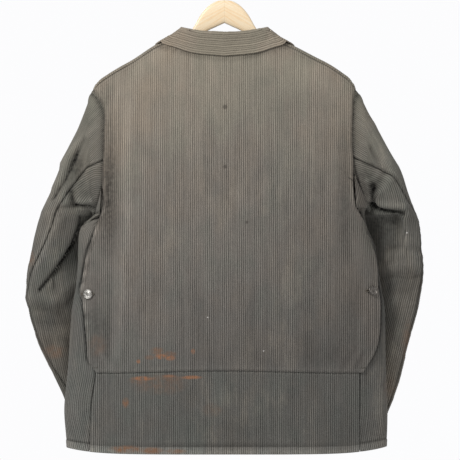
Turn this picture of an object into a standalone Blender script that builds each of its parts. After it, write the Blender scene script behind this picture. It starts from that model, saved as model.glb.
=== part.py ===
"""Hunting jacket hanging on its wooden hanger, modelled piece by piece.

Metres, +Z up. The origin is the point of the hook that bears on a rail or peg. The jacket's
front faces -Y and its back faces +Y, so the wearer's left is +X. Tables are in millimetres:
"drop" is a height measured down from the origin, and "out" is a distance from the middle.
"""
import bpy
import bmesh
import math
from mathutils import Vector

MM = 0.001
CLOTH = 2.0            # thickness of a cloth wall
SEAM_GAP = 0.4         # space left between two pieces at a seam
ROUNDNESS = 2.6        # exponent of the oval that a level cut through the body has

# ---- driving heights (drop below the hanging point) and widths, in millimetres
NECK_OUT = 80.0        # half width of the neckline at the shoulder seam
NECK_SIDE = 134.0      # drop of the neckline at the shoulder seam
NECK_BACK = 152.0      # drop of the neckline at the centre back
NECK_FRONT = 208.0     # drop of the neckline at the centre front
TIP_OUT = 239.0        # half width across the shoulders
TIP = 233.0            # drop of the shoulder's tip
WAIST_SEAM = 738.0     # seam under the outer back panel
INNER_TOP = 486.0      # top of the game pocket's hidden wall
HEM = 886.0            # lowest edge of the body
HEM_RISE = 11.0        # how much the hem is higher at the sides
SHOULDER_ROLL = 160.0  # height over which the shoulder rounds from its ridge to full depth
SHOULDER_LAP = 4.5     # how far the fronts come over the shoulder ridge on to the back
POCKET_LIFT = 4.2      # how far the outer back panel lies over the pieces beneath it
LAP = 20.0             # how far each front runs past the centre front
LAP_SINK = 2.6         # how far the covered front lies behind the other one

# ---- the body: half widths and depths of its level cuts
BODY = [
    # drop, left, right, back, front
    (100, 262, 262, 46, 44),
    (235, 262, 262, 48, 46),
    (340, 250, 262, 51, 49),
    (385, 242, 262, 52, 50),
    (430, 234, 259, 52, 50),
    (444, 232, 256, 52, 50),
    (453, 231, 252, 52, 50),
    (478, 257, 256, 53, 50),
    (511, 263, 270, 54, 50),
    (545, 264, 276, 54, 50),
    (585, 267, 281, 53, 50),
    (625, 274, 288, 52, 49),
    (698, 279, 290, 50, 47),
    (738, 282, 291, 48, 46),
    (804, 289, 293, 44, 43),
    (851, 286, 292, 40, 40),
    (900, 281, 288, 38, 38),
]
SHOULDER = [
    # out, drop on the left, drop on the right: the ridge of the shoulders
    (0, 118, 118),
    (80, 134, 134),
    (120, 148, 150),
    (165, 177, 173),
    (190, 191, 186),
    (214, 206, 202),
    (227, 216, 213),
    (239, 233, 233),
    (262, 262, 262),
]
ARMHOLE = {
    # side: rows of drop, out, from the shoulder's tip to the underarm
    "left": [(233, 239), (243, 229), (270, 216.5), (316, 217), (356, 217.5), (385, 218.5),
             (400, 219.5), (414, 223), (426, 227), (453, 230.6)],
    "right": [(233, 238.5), (245, 233.5), (258, 232), (316, 230.5), (356, 231.5), (372, 234),
              (385, 238.5), (414, 247), (444, 255.6)],
}
BACK_EDGE = {
    # side: rows of drop, out: the outer back panel's edge, sewn above and free below
    "left": [(233, 239), (243, 229), (270, 216.5), (316, 217), (356, 217.5), (385, 218.3),
             (404, 217.4), (425, 215.4), (447, 216.6), (463, 222), (492, 233), (522, 245.5),
             (545, 250), (568, 254), (590, 258), (601, 254), (629, 250.6), (657, 248),
             (691, 245), (717, 243.6), (727, 236.5), (738, 230)],
    "right": [(233, 238.5), (245, 233.5), (258, 232), (316, 230.4), (362, 231.5), (407, 230.4),
              (444, 235), (456, 243), (473, 250.5), (491, 260), (511, 267.5), (536, 271.5),
              (579, 273.4), (600, 277), (635, 278), (663, 276.5), (690, 272), (715, 261.5),
              (738, 248)],
}
SIDE_SEAM = {
    # side: rows of drop, out: where the fronts, wrapped round the sides, end on the back
    "left": [(404, 220), (738, 232), (804, 240), (900, 243)],
    "right": [(385, 233), (738, 243), (900, 243)],
}
NECK_COLUMNS = (0.0, 22.0, 46.0, 66.0, 77.0)    # columns of the panels by the neckline
PANEL_COLUMNS = 12     # columns of the panels from the middle to the edge
BACK_LEVELS = (235, 239, 245, 254, 268, 290, 316, 345, 375, 404, 430, 447, 460, 473, 490,
               511, 540, 568, 590, 602, 630, 663, 691, 717, 728, 738)
UNDERARM = {"left": 453.0, "right": 444.0}         # drop of the armhole's lowest point
SIDE_SEAM_TOP = {"left": 404.0, "right": 385.0}    # drop of the side seam's upper end

SLEEVE = {
    # rows of: outer edge's out, drop and y; inner edge's out, drop and y; half depths to
    # the back and the front; depth of the fold that leaves the forearm behind the upper arm
    "left": [
        (246, 256, 0, 238, 449, -1, 34, 34, 0),
        (256.5, 282, 0, 240.5, 447, -3, 36, 36, 0),
        (266.5, 306, 0, 242.5, 446, -6, 37, 37, 0),
        (289, 352, 0, 244, 446, -11, 38, 38, 0),
        (305.5, 398, 0, 244.5, 446, -18, 38, 37, 0),
        (320, 430, -1, 244.5, 447, -26, 37, 35, 0),
        (329, 449, -1, 244, 449, -33, 36, 34, 0),
        (332.5, 460, -2, 242, 458, -40, 36, 33, 14),
        (338, 477, -3, 238, 477, -47, 34, 32, 19),
        (345, 506, -4, 234, 506, -55, 33, 31, 18),
        (351, 535, -6, 229, 535, -61, 32, 31, 15),
        (355.5, 565, -8, 224, 565, -65, 31, 31, 9),
        (357.5, 599, -10, 218, 599, -70, 30, 30, 0),
        (355.5, 625, -12, 212, 625, -73, 30, 29, 0),
        (345.5, 660, -16, 204, 660, -76, 29, 28, 0),
        (335, 690, -21, 196, 690, -78, 28, 27, 0),
        (316.5, 730, -30, 184, 730, -80, 27, 26, 0),
        (302, 763, -38, 174, 763, -80, 26, 25, 0),
        (288.5, 796, -46, 163, 796, -79, 25, 24, 0),
        (278, 824, -52, 154, 824, -77, 24, 23, 0),
    ],
    "right": [
        (251, 255, 0, 262.5, 440, -1, 34, 34, 0),
        (264, 280, 0, 265, 438, -3, 36, 36, 0),
        (278, 304, 0, 267, 437, -6, 37, 37, 0),
        (298, 340, 0, 268.5, 437, -11, 38, 38, 0),
        (314, 369, 0, 269, 437, -17, 38, 38, 0),
        (325, 399, 0, 269, 438, -23, 38, 37, 0),
        (336, 431, -1, 269, 440, -30, 37, 35, 0),
        (346, 456, -1, 268, 444, -37, 36, 34, 0),
        (349, 464, -2, 267, 452, -43, 36, 33, 13),
        (352, 480, -3, 262, 476, -49, 34, 32, 16),
        (355.5, 518, -5, 256, 518, -58, 33, 31, 9),
        (357, 545, -6, 251, 545, -63, 32, 31, 4),
        (357.7, 566, -8, 247, 566, -67, 31, 31, 0),
        (354, 593, -10, 240, 593, -71, 30, 30, 0),
        (345.6, 635, -14, 229, 635, -75, 29, 29, 0),
        (337.5, 669, -19, 219, 669, -78, 28, 28, 0),
        (329.6, 699, -25, 210, 699, -80, 27, 27, 0),
        (322, 734, -32, 198, 734, -81, 26, 26, 0),
        (308, 781, -44, 183, 781, -81, 25, 25, 0),
        (294.5, 817, -52, 170, 817, -79, 24, 24, 0),
        (285, 842, -57, 161, 842, -77, 24, 23, 0),
    ],
}
SLEEVE_SEAM = {
    # side: rows of out, drop: the seam on the back of the sleeve
    "left": [(217, 358), (246, 372), (266, 398), (291.6, 430), (303.3, 453.5), (314, 489.5),
             (331, 524), (349.5, 565), (355.5, 599), (353, 625), (340, 669), (314, 725),
             (285.5, 768.5), (258, 826)],
    "right": [(231, 358), (259, 366.5), (300.5, 387), (319, 410), (332, 435.5),
              (346.5, 453.5), (351, 471.5), (354, 518), (355.5, 566), (343, 635),
              (327, 699), (304, 781), (280, 844)],
}
SLEEVE_FOLD = {
    # side: rows of out, drop: the edge of the upper arm that overhangs the forearm
    "left": [(258, 440), (258, 478.6), (275, 514.6), (289.3, 536), (306, 560.5), (335, 597)],
    "right": [(319, 440), (319, 455), (323, 475), (326.5, 502), (328.5, 570)],
}
FRONT_SEAM = 0.86      # where the sleeve's front seam lies, from its outer to its inner edge
HANGER = [
    # out, drop of the top edge (None: just under the shoulder ridge), of the bottom edge
    (0, 70, 111.5),
    (14, 72, 118),
    (28, 80, 124.5),
    (42, 95.5, 133),
    (57, 121, 144),
    (68, 134.5, 152),
    (80, 143, 162),
    (105, None, 177),
    (135, None, 198),
    (170, None, 220),
    (200, None, 238),
    (211, None, 240),
    (217, 222, 234),
]
HANGER_UNDER = 4.6     # how far the arms' top lies below the shoulder ridge
HANGER_THICK = 12.0
BUTTON_RADIUS = 8.5
BUTTON_HEIGHT = 3.2
BUTTON_GAP = 0.5
BACK_BUTTONS = {"left": (599.0, 242.0), "right": (593.0, 263.5)}   # drop, out
FRONT_BUTTON_DROPS = (258.0, 390.0, 522.0, 654.0, 786.0)
HOOK_WIRE = 3.6
HOOK_RADIUS = 24.0


def table(rows, at, column, key=0):
    """Smooth value of a column at a place on the table's key column."""
    if at <= rows[0][key]:
        return float(rows[0][column])
    if at >= rows[-1][key]:
        return float(rows[-1][column])
    i = 0
    while rows[i + 1][key] < at:
        i += 1

    def slope(j):
        lo = max(j - 1, 0)
        hi = min(j + 1, len(rows) - 1)
        return (rows[hi][column] - rows[lo][column]) / (rows[hi][key] - rows[lo][key])

    span = rows[i + 1][key] - rows[i][key]
    t = (at - rows[i][key]) / span
    a, b = rows[i][column], rows[i + 1][column]
    da, db = slope(i) * span, slope(i + 1) * span
    if a == b:
        da = db = 0.0
    return (a * (1 + 2 * t) * (1 - t) ** 2 + da * t * (1 - t) ** 2
            + b * t * t * (3 - 2 * t) - db * t * t * (1 - t))


def mix(a, b, t):
    return a + (b - a) * t


def smooth(t):
    t = min(max(t, 0.0), 1.0)
    return t * t * (3 - 2 * t)


def side_of(x):
    return "left" if x >= 0 else "right"


def half_width(side, drop):
    return table(BODY, drop, 1 if side == "left" else 2)


def ridge(x):
    """Drop of the shoulder ridge at x."""
    return table(SHOULDER, abs(x), 1 if x >= 0 else 2)


def body_point(x, drop, back, lift=0.0):
    """A point of the body's outer surface, from its place in the back or front view."""
    side = side_of(x)
    grow = max(lift, 0.0)
    ratio = min(abs(x) / (half_width(side, drop) + grow), 1.0)
    oval = (1 - ratio ** ROUNDNESS) ** (1 / ROUNDNESS)
    below = min(max(drop - ridge(x), 0.0) / SHOULDER_ROLL, 1.0)
    roll = math.sqrt(1 - (1 - below) ** 2)
    depth = table(BODY, drop, 3 if back else 4) + grow
    y = depth * oval * roll + min(lift, 0.0)
    return Vector((x, y if back else -y, -drop)) * MM


def oval_angle(side, out, drop):
    """Angle round the body's oval, from the middle (0) to the side (90 degrees)."""
    ratio = min(out / half_width(side, drop), 1.0)
    return math.asin(ratio ** (ROUNDNESS / 2))


def out_at(side, angle, drop):
    return half_width(side, drop) * math.sin(angle) ** (2 / ROUNDNESS)


def neck_drop(x, back):
    low = NECK_BACK if back else NECK_FRONT
    return mix(low, NECK_SIDE, min(abs(x) / NECK_OUT, 1.0) ** 2)


def hem_drop(x):
    return HEM - HEM_RISE * (abs(x) / 285.0) ** 6


def material(name, colour, rough, metal=0.0):
    mat = bpy.data.materials.get(name)
    if mat is None:
        mat = bpy.data.materials.new(name)
        mat.use_nodes = True
        shader = mat.node_tree.nodes["Principled BSDF"]
        shader.inputs["Base Color"].default_value = (*colour, 1.0)
        shader.inputs["Roughness"].default_value = rough
        shader.inputs["Metallic"].default_value = metal
    return mat


def corduroy():
    return material("corduroy", (0.155, 0.142, 0.122), 0.95)


def link(name, bm, mat, sharp=40.0):
    mesh = bpy.data.meshes.new(name)
    bmesh.ops.recalc_face_normals(bm, faces=bm.faces)
    bm.to_mesh(mesh)
    bm.free()
    mesh.shade_smooth()
    mesh.set_sharp_from_angle(angle=math.radians(sharp))
    mesh.materials.append(mat)
    obj = bpy.data.objects.new(name, mesh)
    bpy.context.scene.collection.objects.link(obj)
    return obj


def facing(rows, closed):
    """The way into the cloth at each point of a grid, from the points beside it."""
    last = len(rows) - 1
    result = []
    for r, row in enumerate(rows):
        line = []
        for c, point in enumerate(row):
            if point is None:
                line.append(None)
                continue
            count = len(row)
            sides = [(c - 1) % count, (c + 1) % count] if closed else [max(c - 1, 0),
                                                                    min(c + 1, count - 1)]
            ends = [row[i] if row[i] is not None else point for i in sides]
            above = rows[max(r - 1, 0)][c]
            below = rows[min(r + 1, last)][c]
            down = (below if below is not None else point) - (above if above is not None
                                                              else point)
            line.append((ends[1] - ends[0]).cross(down).normalized())
        result.append(line)
    return result


def cloth(name, rows, thick=CLOTH, inward=None):
    """A wall of cloth under a grid of outer points; None marks a place with no cloth."""
    bm = bmesh.new()
    normals = inward or facing(rows, False)
    grid = [[bm.verts.new(p) if p is not None else None for p in row] for row in rows]
    for upper, lower in zip(grid, grid[1:]):
        for c in range(len(upper) - 1):
            corners = (upper[c], upper[c + 1], lower[c + 1], lower[c])
            if None not in corners:
                bm.faces.new(corners)
    outer_faces = list(bm.faces)
    inner = {}
    for row, normal_row in zip(grid, normals):
        for vert, normal in zip(row, normal_row):
            if vert is not None:
                inner[vert] = bm.verts.new(vert.co + normal * thick * MM)
    rim = [edge for edge in bm.edges if edge.is_boundary]
    for face in outer_faces:
        bm.faces.new([inner[v] for v in reversed(face.verts)])
    for edge in rim:
        loop = edge.link_loops[0]
        a, b = loop.vert, loop.link_loop_next.vert
        bm.faces.new((b, a, inner[a], inner[b]))
    return link(name, bm, corduroy())


def spread(start, end, count, power=1.0):
    return [mix(start, end, (i / count) ** power) for i in range(count + 1)]


# ---------------------------------------------------------------- the body's panels
def panel_out(c, count, side, edge, drop):
    """Distance from the middle of a panel's column: by the neck, and then to its edge."""
    if c < len(NECK_COLUMNS):
        return NECK_COLUMNS[c]
    start = oval_angle(side, NECK_OUT + 8.0, drop)
    end = oval_angle(side, edge, drop)
    first = len(NECK_COLUMNS)
    return out_at(side, mix(start, end, (c - first) / (count - first)), drop)


def back_panel():
    """The outer back panel: shoulders and neck to the waist seam, edges free below."""
    corner = BACK_LEVELS[0]
    columns = [(c, "left") for c in range(PANEL_COLUMNS, -1, -1)]
    columns += [(c, "right") for c in range(1, PANEL_COLUMNS + 1)]

    def place(c, side, level):
        edge = table(BACK_EDGE[side], level, 1) - SEAM_GAP
        out = panel_out(c, PANEL_COLUMNS, side, edge, level)
        return math.copysign(out, 1 if side == "left" else -1)

    rows = []
    for level in BACK_LEVELS:
        row = []
        for c, side in columns:
            at_top = place(c, side, corner)
            top = ridge(at_top) + SHOULDER_LAP + 3 * SEAM_GAP
            if abs(at_top) < NECK_OUT:
                top = neck_drop(at_top, True)
            drop = mix(top, WAIST_SEAM, (level - corner) / (WAIST_SEAM - corner))
            lift = POCKET_LIFT * smooth((level - 335) / 60)
            row.append(body_point(place(c, side, level), drop, True, lift))
        rows.append(row)
    return cloth("back_panel", rows)


def between_side_seams(name, top, bottom, row_count):
    rows = []
    for v in spread(0.0, 1.0, row_count):
        row = []
        for u in spread(1.0, -1.0, 16):
            side = side_of(u)
            low = bottom(u)
            drop = mix(top, low, v)
            seam = table(SIDE_SEAM[side], drop, 1) - 2 * SEAM_GAP
            angle = oval_angle(side, seam, drop) * abs(u)
            out = out_at(side, angle, drop)
            row.append(body_point(math.copysign(out, u), drop, True))
        rows.append(row)
    return cloth(name, rows)


def back_inner():
    """The wall behind the outer back panel, which makes the game pocket with it."""
    return between_side_seams("back_inner", INNER_TOP, lambda u: WAIST_SEAM - SEAM_GAP, 9)


def back_lower():
    """The back between the waist seam and the hem."""
    return between_side_seams("back_lower", WAIST_SEAM, lambda u: hem_drop(u * 243), 5)


def front_panel(name, side):
    """A front, from the centre over the shoulder and round the side on to the back."""
    sign = 1 if side == "left" else -1
    under = UNDERARM[side]
    front_columns, side_columns = PANEL_COLUMNS + 1, 5

    def column_out(c, edge, drop):
        """Distance from the middle of a column; the first one is the lap's edge."""
        if c == 0:
            return -LAP
        return panel_out(c - 1, front_columns - 1, side, edge, drop)

    def front_point(c, edge, edge_drop, drop):
        out = column_out(c, edge, edge_drop)
        sink = LAP_SINK if side == "right" and c < 3 else 0.0
        return body_point(sign * out, drop, False, -sink)

    tops = []
    for c in range(front_columns + 1):
        x = sign * column_out(c, TIP_OUT - SEAM_GAP, TIP)
        tops.append((x, neck_drop(x, False) if abs(x) < NECK_OUT else ridge(x)))
    rows = []
    for lap, inward in ((SHOULDER_LAP, 2.0), (SHOULDER_LAP * 0.35, 0.5)):
        row = []
        for c, (x, top) in enumerate(tops):
            place = x - math.copysign(inward * smooth(c / front_columns), x)
            at = body_point(place, ridge(place) + lap, True)
            row.append(at if abs(x) >= NECK_OUT else None)
        rows.append(row + [None] * side_columns)
    for v in spread(0.0, 1.0, 11, 1.9)[:-1]:
        edge_drop = mix(TIP, under, v)
        edge = table(ARMHOLE[side], edge_drop, 1) - SEAM_GAP
        row = [front_point(c, edge, edge_drop, mix(top, under, v))
               for c, (_, top) in enumerate(tops)]
        rows.append(row + [None] * side_columns)
    for v in spread(0.0, 1.0, 14, 1.3):
        row = []
        for c in range(front_columns + 1):
            drop = mix(under, hem_drop(285 * (c / front_columns)), v)
            row.append(front_point(c, half_width(side, drop), drop, drop))
        for c in range(1, side_columns + 1):
            share = c / side_columns
            top = mix(under, SIDE_SEAM_TOP[side], share ** 1.6)
            drop = mix(top, hem_drop(285 - 42 * share), v)
            seam = oval_angle(side, table(SIDE_SEAM[side], drop, 1), drop)
            out = out_at(side, mix(math.pi / 2, seam, share), drop)
            row.append(body_point(sign * out, drop, True))
        rows.append(row)
    if side == "right":
        rows = [row[::-1] for row in rows]
    return cloth(name, rows)


# ---------------------------------------------------------------- sleeves
def crossing(outer, inner, line):
    """Share of the way from outer to inner where a line on the sleeve crosses it."""
    ox, oz = outer
    dx, dz = inner[0] - ox, inner[1] - oz
    for (ax, az), (bx, bz) in zip(line, line[1:]):
        ex, ez = bx - ax, bz - az
        cross = dx * ez - dz * ex
        if abs(cross) < 1e-9:
            continue
        share = ((ax - ox) * ez - (az - oz) * ex) / cross
        along = ((ax - ox) * dz - (az - oz) * dx) / cross
        if -0.001 <= along <= 1.001 and -0.2 <= share <= 1.0:
            return max(share, 0.004)
    return None


def angle_of(share):
    return math.acos(min(max(1 - 2 * share, -1.0), 1.0))


def armhole_point(side, angle):
    """The armhole loop: 0 is the shoulder's tip, pi the underarm; backs are above 0."""
    under = UNDERARM[side]
    drop = mix(TIP, under, (1 - math.cos(angle)) / 2)
    out = table(ARMHOLE[side], drop, 1)
    x = out if side == "left" else -out
    point = body_point(x, drop, math.sin(angle) >= 0)
    low = smooth((abs(angle) - 1.9) / 0.7)
    away = SEAM_GAP + 2.3 * math.cos(angle) ** 2 + 1.4 * low
    point.x += math.copysign(away * MM, x)
    return point


def sleeve_point(side, row, angle, fold_share):
    """A point on a sleeve's section; the fold sinks what lies inward of it on the back."""
    ox, oz, oy, ix, iz, iy, back, front, fold = row
    t = (1 - math.cos(angle)) / 2
    depth = back if math.sin(angle) >= 0 else front
    y = mix(oy, iy, t) + depth * math.sin(angle)
    if fold and fold_share is not None and math.sin(angle) > 0 and t > fold_share + 0.01:
        y -= fold * math.sin(angle)
    sign = 1 if side == "left" else -1
    return Vector((sign * mix(ox, ix, t), y, -mix(oz, iz, t))) * MM


def sleeve_rows(side):
    """Each section with the angles of its seam and of the two edges of its fold."""
    result = []
    last_fold = 0.6
    last_seam = None
    for row in SLEEVE[side]:
        outer, inner = (row[0], row[1]), (row[3], row[4])
        seam = crossing(outer, inner, SLEEVE_SEAM[side])
        if seam is None:
            seam = last_seam
        fold = crossing(outer, inner, SLEEVE_FOLD[side]) if row[8] else None
        if fold is None:
            fold = last_fold
        last_seam, last_fold = seam, fold
        result.append((row, seam, fold))
    first = next(item[1] for item in result if item[1] is not None)
    return [(row, first if seam is None else seam, fold) for row, seam, fold in result]


def sleeve(side):
    """The two pieces of a sleeve: the upper one is outside, the under one inside."""
    front = -angle_of(FRONT_SEAM)
    table_rows = [(None, math.radians(97), math.radians(130))]
    for row, seam, fold in sleeve_rows(side):
        seam_angle = angle_of(seam)
        fold_angle = max(angle_of(fold), seam_angle + 0.25)
        table_rows.append((row, seam_angle, min(fold_angle, 2.85)))
    rings = []
    for row, seam, fold in table_rows:
        wide = 60.0 if row is None else (row[0] - row[3]) / 2
        deep = 34.0 if row is None else row[6]

        def gap(angle):
            return SEAM_GAP / math.hypot(wide * math.sin(angle), deep * math.cos(angle))

        back_gap, front_gap = gap(seam), gap(front)
        angles = spread(seam - back_gap, 0.0, 4)
        angles += spread(0.0, front + front_gap, 6)[1:]
        angles += spread(front - front_gap, -math.pi, 2)
        angles += spread(math.pi, fold + 0.1, 4)[1:]
        angles += spread(fold - 0.02, seam + back_gap, 3)
        share = (1 - math.cos(fold)) / 2
        if row is None:
            rings.append([armhole_point(side, a) for a in angles])
        else:
            rings.append([sleeve_point(side, row, a, share) for a in angles])
    normals = facing(rings, True)
    split = 4 + 6 + 1
    for line in normals:
        for a, b in ((split - 1, split), (-1, 0)):
            line[a] = line[b] = (line[a] + line[b]).normalized()
    parts = {"upper": slice(0, split), "under": slice(split, None)}
    for piece, columns in parts.items():
        rows = [ring[columns] for ring in rings]
        inward = [line[columns] for line in normals]
        if side == "left":
            inward = [[-n for n in line] for line in inward]
        cloth("sleeve_%s_%s" % (side, piece), rows, inward=inward)


# ---------------------------------------------------------------- collar
COLLAR = [
    # degrees round the neck from the centre back; fold line's out and drop; outer edge's
    # out and drop
    (0, 0, 128.5, 0, 173),
    (30, 40, 125.5, 55, 167.5),
    (60, 70, 120.5, 97, 155),
    (90, 78.5, 119, 123, 151.5),
    (120, 72, 133, 122, 178),
    (150, 44, 167, 92, 216),
    (170, 16, 193, 58, 239),
]
FOLD_HALF = 3.4        # half the width of the collar's folded edge
COLLAR_OFF = 4.4       # how far the collar's outer face stands off the body


def clear_of_body(point, back, gap):
    """Moves a point out until it lies the gap away from the body's surface."""
    x, drop = point.x / MM, -point.z / MM
    under = body_point(x, max(drop, ridge(x) + 0.1), back)
    out = surface_out(x, max(drop, ridge(x) + 3.2), back)
    short = gap * MM - (point - under).dot(out)
    moved = point + out * max(short, 0.0)
    if -moved.z / MM < ridge(moved.x / MM) + gap:
        moved.z = max(moved.z, (gap - ridge(moved.x / MM)) * MM)
    return moved


def collar():
    """The turned-down collar: a stand from the neckline up to the fold, and its fall."""
    rows = []
    reach = COLLAR[-1][0]
    for degrees in spread(-reach, reach, 34):
        turn = abs(degrees)
        sign = 1 if degrees >= 0 else -1
        back = turn <= 90
        seam_x = NECK_OUT * math.sin(math.radians(turn)) * sign
        seam = body_point(seam_x, neck_drop(seam_x, back), back)
        seam.z += SEAM_GAP * (3 if back else 5) * MM
        away = Vector((math.sin(math.radians(degrees)), math.cos(math.radians(degrees)), 0))
        seam -= away * 0.6 * MM
        edge_x = table(COLLAR, turn, 3) * sign
        edge_drop = max(table(COLLAR, turn, 4), ridge(edge_x) + 0.2)
        edge = body_point(edge_x, edge_drop, back)
        fold = Vector((table(COLLAR, turn, 1) * sign * MM, mix(seam.y, edge.y, 0.25),
                       -table(COLLAR, turn, 2) * MM))
        lower = Vector((0, 0, 3.0 * MM))
        stand_top = fold - away * FOLD_HALF * MM - lower
        fall_top = fold + away * FOLD_HALF * MM - lower
        row = [seam, seam.lerp(stand_top, 0.5), stand_top, fold, fall_top]
        for share in (0.25, 0.5, 0.75, 1.0):
            stand_off = mix(1.4, 1.0, share) * COLLAR_OFF
            row.append(clear_of_body(fall_top.lerp(edge, share), back, stand_off))
        rows.append(row)
    return cloth("collar", rows, thick=2.2)


# ---------------------------------------------------------------- buttons, hanger, hook
def button(name, place, out, mat):
    """A round metal button with a raised rim, standing on the cloth along 'out'."""
    profile = [(0.0, 0.0), (0.7, 0.0), (1.0, 0.4), (1.0, 0.75), (0.86, 1.0), (0.7, 0.84),
               (0.0, 0.78)]
    bm = bmesh.new()
    verts = [bm.verts.new((r * BUTTON_RADIUS * MM, 0, h * BUTTON_HEIGHT * MM))
             for r, h in profile]
    edges = [bm.edges.new(pair) for pair in zip(verts, verts[1:])]
    bmesh.ops.spin(bm, geom=verts + edges, axis=(0, 0, 1), cent=(0, 0, 0),
                   angle=math.tau, steps=14, use_merge=True, use_duplicate=False)
    bmesh.ops.remove_doubles(bm, verts=bm.verts, dist=0.00001)
    turn = Vector((0, 0, 1)).rotation_difference(out)
    obj = link(name, bm, mat)
    obj.rotation_mode = "QUATERNION"
    obj.rotation_quaternion = turn
    obj.location = place + out * BUTTON_GAP * MM
    return obj


def surface_out(x, drop, back):
    """The direction that the body's surface faces at a place."""
    step = 3.0
    a = body_point(x + step, drop, back) - body_point(x - step, drop, back)
    b = body_point(x, drop + step, back) - body_point(x, drop - step, back)
    normal = a.cross(b).normalized()
    return normal if (normal.y > 0) == back else -normal


def buttons():
    metal = {"left": material("button_bright", (0.55, 0.54, 0.5), 0.35, 1.0),
             "right": material("button_dark", (0.14, 0.12, 0.1), 0.45, 1.0)}
    for side, (drop, out) in BACK_BUTTONS.items():
        x = out if side == "left" else -out
        normal = surface_out(x, drop, True)
        place = body_point(x, drop, True, POCKET_LIFT)
        button("button_pocket_" + side, place, normal, metal[side])
    for i, drop in enumerate(FRONT_BUTTON_DROPS):
        place = body_point(0.0, drop, False)
        button("button_front_%d" % (i + 1), place, surface_out(0.0, drop, False),
               metal["right"])


def hanger_body():
    """The wooden hanger: two arms that meet in the middle, with rounded edges."""
    arm = []
    for out, top, bottom in HANGER:
        if top is None:
            top = max(ridge(out), ridge(-out)) + HANGER_UNDER
        arm.append((out, -top, -bottom))
    outline = [(out, top) for out, top, _ in arm]
    outline += [(out, bottom) for out, _, bottom in arm[::-1]]
    outline += [(-out, bottom) for out, _, bottom in arm[1:]]
    outline += [(-out, top) for out, top, _ in arm[:0:-1]]
    bm = bmesh.new()
    face = bm.faces.new([bm.verts.new((x * MM, -HANGER_THICK / 2 * MM, z * MM))
                         for x, z in outline])
    moved = bmesh.ops.extrude_face_region(bm, geom=[face])["geom"]
    bmesh.ops.translate(bm, vec=(0, HANGER_THICK * MM, 0),
                        verts=[g for g in moved if isinstance(g, bmesh.types.BMVert)])
    obj = link("hanger_body", bm, material("beech", (0.86, 0.68, 0.46), 0.5), 30)
    bevel = obj.modifiers.new("rounded edges", "BEVEL")
    bevel.width = 4.5 * MM
    bevel.segments = 2
    bevel.limit_method = "ANGLE"
    bevel.angle_limit = math.radians(50)
    return obj


def hanger_hook():
    """The steel hook: a shaft out of the wood's top and a round turn over the rail."""
    centre = -HOOK_RADIUS + HOOK_WIRE / 2
    shaft = [(0, -69.6), (0, -60), (-2.5, -53), (-9, -46), (-17, -38.5), (-22.5, -30)]
    arc = []
    for degrees in range(180, -41, -10):
        a = math.radians(degrees)
        arc.append((HOOK_RADIUS * math.cos(a), centre + HOOK_RADIUS * math.sin(a)))
    curve = bpy.data.curves.new("hanger_hook", "CURVE")
    curve.dimensions = "3D"
    curve.bevel_depth = HOOK_WIRE / 2 * MM
    curve.bevel_resolution = 2
    curve.use_fill_caps = True
    spline = curve.splines.new("POLY")
    points = shaft + arc
    spline.points.add(len(points) - 1)
    for point, (x, z) in zip(spline.points, points):
        point.co = (x * MM, 0, z * MM, 1)
    curve.materials.append(material("steel", (0.6, 0.6, 0.6), 0.3, 1.0))
    obj = bpy.data.objects.new("hanger_hook", curve)
    bpy.context.scene.collection.objects.link(obj)
    return obj


def main():
    for obj in list(bpy.data.objects):
        bpy.data.objects.remove(obj)
    back_panel()
    back_inner()
    back_lower()
    front_panel("front_left", "left")
    front_panel("front_right", "right")
    sleeve("left")
    sleeve("right")
    collar()
    buttons()
    hanger_body()
    hanger_hook()


main()
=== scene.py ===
"""Looks of the old ribbed hunting jacket on its hanger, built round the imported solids.

The solids' driving tables are repeated here and read at a much finer pitch: every cloth piece
is a shell on its solid's form whose columns follow the ribs of the cloth. Lengths in the
tables are millimetres; "drop" is measured down from the hook's bearing point. The jacket's
back faces +Y, where the camera stands, and the wearer's left is +X.
"""
import math

import bpy
import numpy as np
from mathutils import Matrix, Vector


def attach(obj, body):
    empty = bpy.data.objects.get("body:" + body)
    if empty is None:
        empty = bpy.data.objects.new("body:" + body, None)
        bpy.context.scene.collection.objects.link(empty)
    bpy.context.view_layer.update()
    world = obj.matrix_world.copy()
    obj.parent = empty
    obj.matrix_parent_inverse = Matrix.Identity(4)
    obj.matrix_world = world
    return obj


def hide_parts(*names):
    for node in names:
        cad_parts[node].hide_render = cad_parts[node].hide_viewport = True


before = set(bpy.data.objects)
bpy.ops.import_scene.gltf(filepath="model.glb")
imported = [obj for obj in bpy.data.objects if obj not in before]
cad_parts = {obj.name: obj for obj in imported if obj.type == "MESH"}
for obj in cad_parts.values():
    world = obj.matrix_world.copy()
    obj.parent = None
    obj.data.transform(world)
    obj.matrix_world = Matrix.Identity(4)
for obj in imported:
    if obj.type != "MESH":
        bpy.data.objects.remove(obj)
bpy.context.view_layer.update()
MM = 0.001
SIDES = ("left", "right")

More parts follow.
